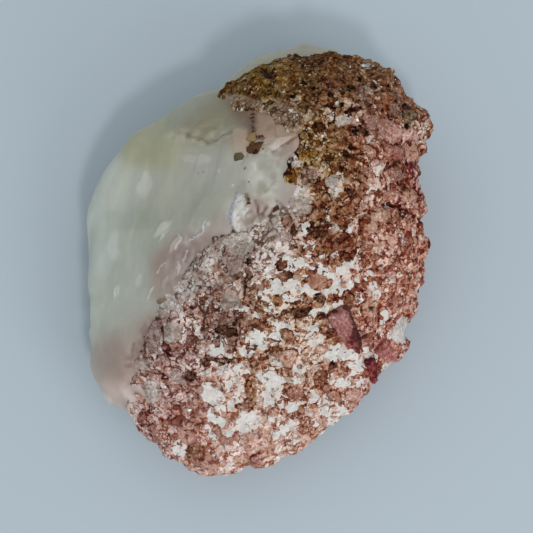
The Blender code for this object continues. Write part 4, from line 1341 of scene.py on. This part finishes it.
# brown grains caught in the quartz, and white crumbs on its broken ridges
def makeStrays():
    # each stray is a row of crystals as long as it is, sunk in the quartz
    anchors, sizes, colours = [], [], []
    for x, y, halfLength, halfWidth, azimuth, finish, rise in quartz["strays"]:
        turn = math.radians(azimuth)
        count = max(1, round(halfLength / halfWidth))
        for step in np.linspace(-1, 1, count) * (halfLength - halfWidth):
            place = surfacePlace(x + step * math.cos(turn), y + step * math.sin(turn), quartzTop)
            anchors.append(place + (0, 0, 0.4 * rise - 0.2 * halfWidth))
            sizes.append(1.5 * halfWidth)
            colours.append(linear(finishes[finish]))
    scatterGrains(
        "quartz_inclusions", np.array(anchors), (0, 0, 1), np.array(colours), np.array(sizes),
        grainTemplates(7, flatness=0.8), grainFinish("quartz_inclusions", roughness=0.45, ior=1.5), 8,
        squash=0.65,
    )


def makeCrumbs():
    # white crumbs at random along each line
    chance = np.random.default_rng(9)
    anchors = []
    for x0, y0, x1, y1, halfWidth, count in quartz["crumbLines"]:
        along = chance.uniform(0, 1, count)
        offset = chance.normal(0, 0.6 * halfWidth, (count, 2))
        for share, (dx, dy) in zip(along, offset):
            x, y = x0 + share * (x1 - x0) + dx, y0 + share * (y1 - y0) + dy
            anchors.append(surfacePlace(x, y, quartzTop))
    sizes = chance.uniform(*quartz["crumbSize"], len(anchors))
    colours = linear(quartz["white"]) * chance.uniform(*quartz["crumbShade"], (len(sizes), 1))
    scatterGrains(
        "quartz_crumbs", np.array(anchors), (0, 0, 1), colours, sizes,
        grainTemplates(13, flatness=0.8), grainFinish("quartz_crumbs", roughness=0.3, ior=1.55), 10,
    )


makeStrays()
makeCrumbs()


# the crimson prisms
prisms = {
    "rings": 33,
    "columns": 48,
    "sides": 6,
    # each crystal's two ends as seen, width, thickness, lift and how much it narrows; then where across
    # it the dark side begins, and the colours of its first half, its second half and its dark side
    "crystals": {
        "long": ((10.7, -7.6, 13.9, -14.1, 3.5, 2.3, 0.95, 0.45), 0.16, "dusty", "garnet", "wine"),
        "maroon": ((14.8, -11.3, 15.5, -13.5, 2.0, 1.5, 0.80, 0.20), 0.40, "brick", "copper", "chestnut"),
        "edge": ((16.4, -12.7, 18.4, -14.8, 2.5, 2.0, 1.00, 0.10), 0.60, "coral", "salmon", "berry"),
        "dark": ((15.2, -14.6, 15.9, -18.1, 1.9, 1.3, 1.20, 0.70), 0.45, "ruby", "claret", "plum"),
    },
    "colours": {
        "dusty": (152, 100, 94), "garnet": (122, 56, 52), "wine": (72, 24, 18),
        "brick": (148, 94, 78), "copper": (140, 84, 72), "chestnut": (84, 36, 22),
        "coral": (150, 90, 82), "salmon": (186, 124, 120), "berry": (128, 58, 52),
        "ruby": (120, 44, 48), "claret": (104, 32, 38), "plum": (70, 20, 24),
    },
    "chips": (0.22, 0.16),  # heights of the facets and of the soft noise on the sides
    "darkEdge": ((0.35, 0.8, 250), (0.2, 0.35, 251)),
    "ior": 1.62,
    "specular": 0.12,
}


def prismShape(x0, y0, x1, y1, width, thickness, lift, narrowing, salt):
    # u runs along the length and v around it: a six-sided outline, radius cos 30 / cos(v - side's
    # middle), narrowing to broken ends, with ripples and chips; a point closes each end; gives the
    # points, the faces, and how far along and across each point lies, from -1 to 1
    rings, columns = prisms["rings"], prisms["columns"]
    u, v = grid(np.linspace(0, 1, rings + 2)[1:-1], np.arange(columns) / columns * 2 * np.pi)
    side = 2 * np.pi / prisms["sides"]
    outline = math.cos(side / 2) / np.cos(np.mod(v, side) - side / 2)
    ends = np.minimum(smoothStep(u, -0.10, 0.12), smoothStep(1 - u, -0.06, 0.20))
    ends *= 1 - narrowing * u**2
    radius = outline * ends * (1 + 0.03 * np.cos(11 * v) + 0.015 * np.cos(27 * v))
    raised = np.array([0, 0, lift - thickness / 2])
    start = surfacePlace(x0, y0, crust["top"]) + raised
    end = surfacePlace(x1, y1, crust["top"]) + raised
    along = (end - start) / np.linalg.norm(end - start)
    across = np.cross(along, (0.0, 0.0, 1.0))
    across /= np.linalg.norm(across)
    up = np.cross(across, along)
    local = np.cos(v + 0.5)[:, None] * across * width / 2 + np.sin(v + 0.5)[:, None] * up * thickness / 2
    points = start + u[:, None] * (end - start) + radius[:, None] * local
    facet, soft = prisms["chips"]
    chips = crystalCells(points, 0.9, salt) * facet + softNoise(points, 1.6, salt + 1) * soft
    points += chips[:, None] * local / lengths(local)[:, None]
    points = np.concatenate([points, [start + 0.01 * (end - start), end - 0.01 * (end - start)]])
    ring, column = grid(np.arange(rings - 1), np.arange(columns))
    a = ring * columns + column
    b = ring * columns + (column + 1) % columns
    lower = np.stack([a, b, b + columns], axis=1)
    upper = np.stack([a, b + columns, a + columns], axis=1)
    rim = np.arange(columns)
    after = (rim + 1) % columns
    last = (rings - 1) * columns
    first = np.stack([np.full(columns, rings * columns), after, rim], axis=1)
    final = np.stack([np.full(columns, rings * columns + 1), last + rim, last + after], axis=1)
    outward = points - (start + end) / 2
    lengthwise = outward @ along / np.linalg.norm(end - start) * 2
    faces = np.concatenate([lower, upper, first, final])
    return points, faces, lengthwise, -outward @ across / width * 2


def prismFinish():
    paint = Paint("crimson_tourmaline")
    tint = paint.attribute("tint")
    cloud = paint.noise(1.6, 3.0)
    speck = paint.noise(0.35, 3.0, 0.6)
    streak = paint.noise(0.5, 2.0, 0.5, paint.stretched((1.0, 0.25, 0.6), (0, 0, 34)))
    thickness = cloud * 1.3 + speck * 1.9 + streak * 0.6 - 0.90
    return paint.finish({
        "Base Color": paint.thickened(tint, thickness),
        "Roughness": 0.28 + 0.2 * speck,
        "IOR": prisms["ior"],
        "Specular IOR Level": prisms["specular"],
        "Normal": paint.bump(streak + speck, 0.10, 0.8),
    })


def makePrisms():
    parts = []
    for k, (place, darkFrom, *colours) in enumerate(prisms["crystals"].values()):
        first, second, dark = (linear(prisms["colours"][colour]) for colour in colours)
        points, faces, lengthwise, across = prismShape(*place, 200 + 10 * k)
        ragged = noises(points, *prisms["darkEdge"])
        share = smoothStep(across + 0.45 * lengthwise + ragged, darkFrom, darkFrom + 0.2)
        share = np.maximum(share, 0.9 * (1 - smoothStep(lengthwise + ragged, -0.95, -0.80)))
        tint = mixed(np.tile(first, (len(points), 1)), second, smoothStep(lengthwise + ragged, -0.2, 0.5))
        tint = mixed(tint, dark, share)
        parts.append((points, faces, np.concatenate([tint, share[:, None]], axis=1)))
    points, faces, tints = joined(parts)
    tints = {"tint": tints}
    piece = makePiece("crimson_prisms", grounded(points), faces, prismFinish(), tints, smooth=False)
    print("prisms:", len(faces), "triangles")


makePrisms()


# the painted glints
glints = {
    # near-white chips painted as glints where facets catch the light: x, y as seen and half width
    "places": [
        (13.8, 17.8, 0.32), (22.3, 14.9, 0.20), (15.7, 1.9, 0.26), (-8.8, -21.4, 0.30),
        (-12.1, -18.4, 0.24), (-11.9, -25.6, 0.20), (12.9, 25.3, 0.14), (-14.3, -25.6, 0.16),
        (18.2, -8.9, 0.14), (16.0, -8.9, 0.12), (-13.9, -25.2, 0.12), (5.8, -1.9, 0.12),
    ],
    "colour": (0.93, 0.94, 0.95),
    "facing": (0, -0.3, 0.95),
    "rise": 0.12,
    "flatness": 0.6,
    "roughness": 0.15,
    "ior": 1.62,
}


def makeGlints():
    spots = np.array(glints["places"])
    anchors = np.array([surfacePlace(x, y, crust["top"]) for x, y, _ in spots]) + (0, 0, glints["rise"])
    material = Paint("glints").finish({
        # a near-white base colour: painted glint
        "Base Color": (*glints["colour"], 1),
        "Roughness": glints["roughness"],
        "IOR": glints["ior"],
    })
    templates = grainTemplates(11, glints["flatness"])
    scatterGrains("glints", anchors, glints["facing"], (1, 1, 1), spots[:, 2], templates, material, 12)


makeGlints()


# floor, lights and camera
stage = {
    "floorSize": 2.4,
    "floorColour": (0.457, 0.522, 0.572),
    "floorShade": 0.98,  # of the colour in the darker clouds
    "floorRoughness": 0.75,
    "keyFrom": (0.13, -0.39, 0.63),
    "keySize": 0.10,
    "keyPower": 1.2,
    "fillFrom": (0.55, -0.45, 0.42),
    "fillSize": 0.45,
    "fillPower": 1.5,
    "skyStrength": 0.70,
    "skyColour": (0.90, 0.96, 1.0),
    "sensor": 36.0,
}


def makeFloor():
    bpy.ops.mesh.primitive_plane_add(size=stage["floorSize"], location=(0, 0, 0))
    floor = bpy.context.object
    floor.name = "floor"
    paint = Paint("floor")
    darker = tuple(c * stage["floorShade"] for c in stage["floorColour"])
    colour = paint.mix(paint.noise(60.0, 2.0), darker, stage["floorColour"])
    floor.data.materials.append(paint.finish({"Base Color": colour, "Roughness": stage["floorRoughness"]}))


def makeLamp(name):
    light = bpy.data.lights.new(name, "AREA")
    light.shape = "DISK"
    light.size = stage[name + "Size"]
    light.energy = stage[name + "Power"]
    lamp = bpy.data.objects.new(name, light)
    lamp.location = stage[name + "From"]
    lamp.rotation_euler = (-Vector(stage[name + "From"])).to_track_quat("-Z", "Y").to_euler()
    bpy.context.scene.collection.objects.link(lamp)


def makeLights():
    makeLamp("key")
    makeLamp("fill")
    world = bpy.data.worlds.new("soft_sky")
    bpy.context.scene.world = world
    world.use_nodes = True
    sky = world.node_tree.nodes["Background"]
    sky.inputs["Color"].default_value = (*stage["skyColour"], 1)
    sky.inputs["Strength"].default_value = stage["skyStrength"]


def makeCamera():
    # it stands where the marks' eye is
    camera = bpy.data.cameras.new("camera")
    camera.sensor_width = stage["sensor"]
    camera.lens = stage["sensor"] * view["distance"] / (view["mmPerPixel"] * view["pixels"])
    camera.clip_start = 0.01
    eye = bpy.data.objects.new("camera", camera)
    eye.location = (eyePlace() + form["centre"]) * mm
    eye.rotation_euler = (math.radians(90 - view["elevation"]), 0, 0)
    bpy.context.scene.collection.objects.link(eye)
    bpy.context.scene.camera = eye


makeFloor()
makeLights()
makeCamera()
bpy.context.scene.view_settings.view_transform = "Standard"
print("stage ready")
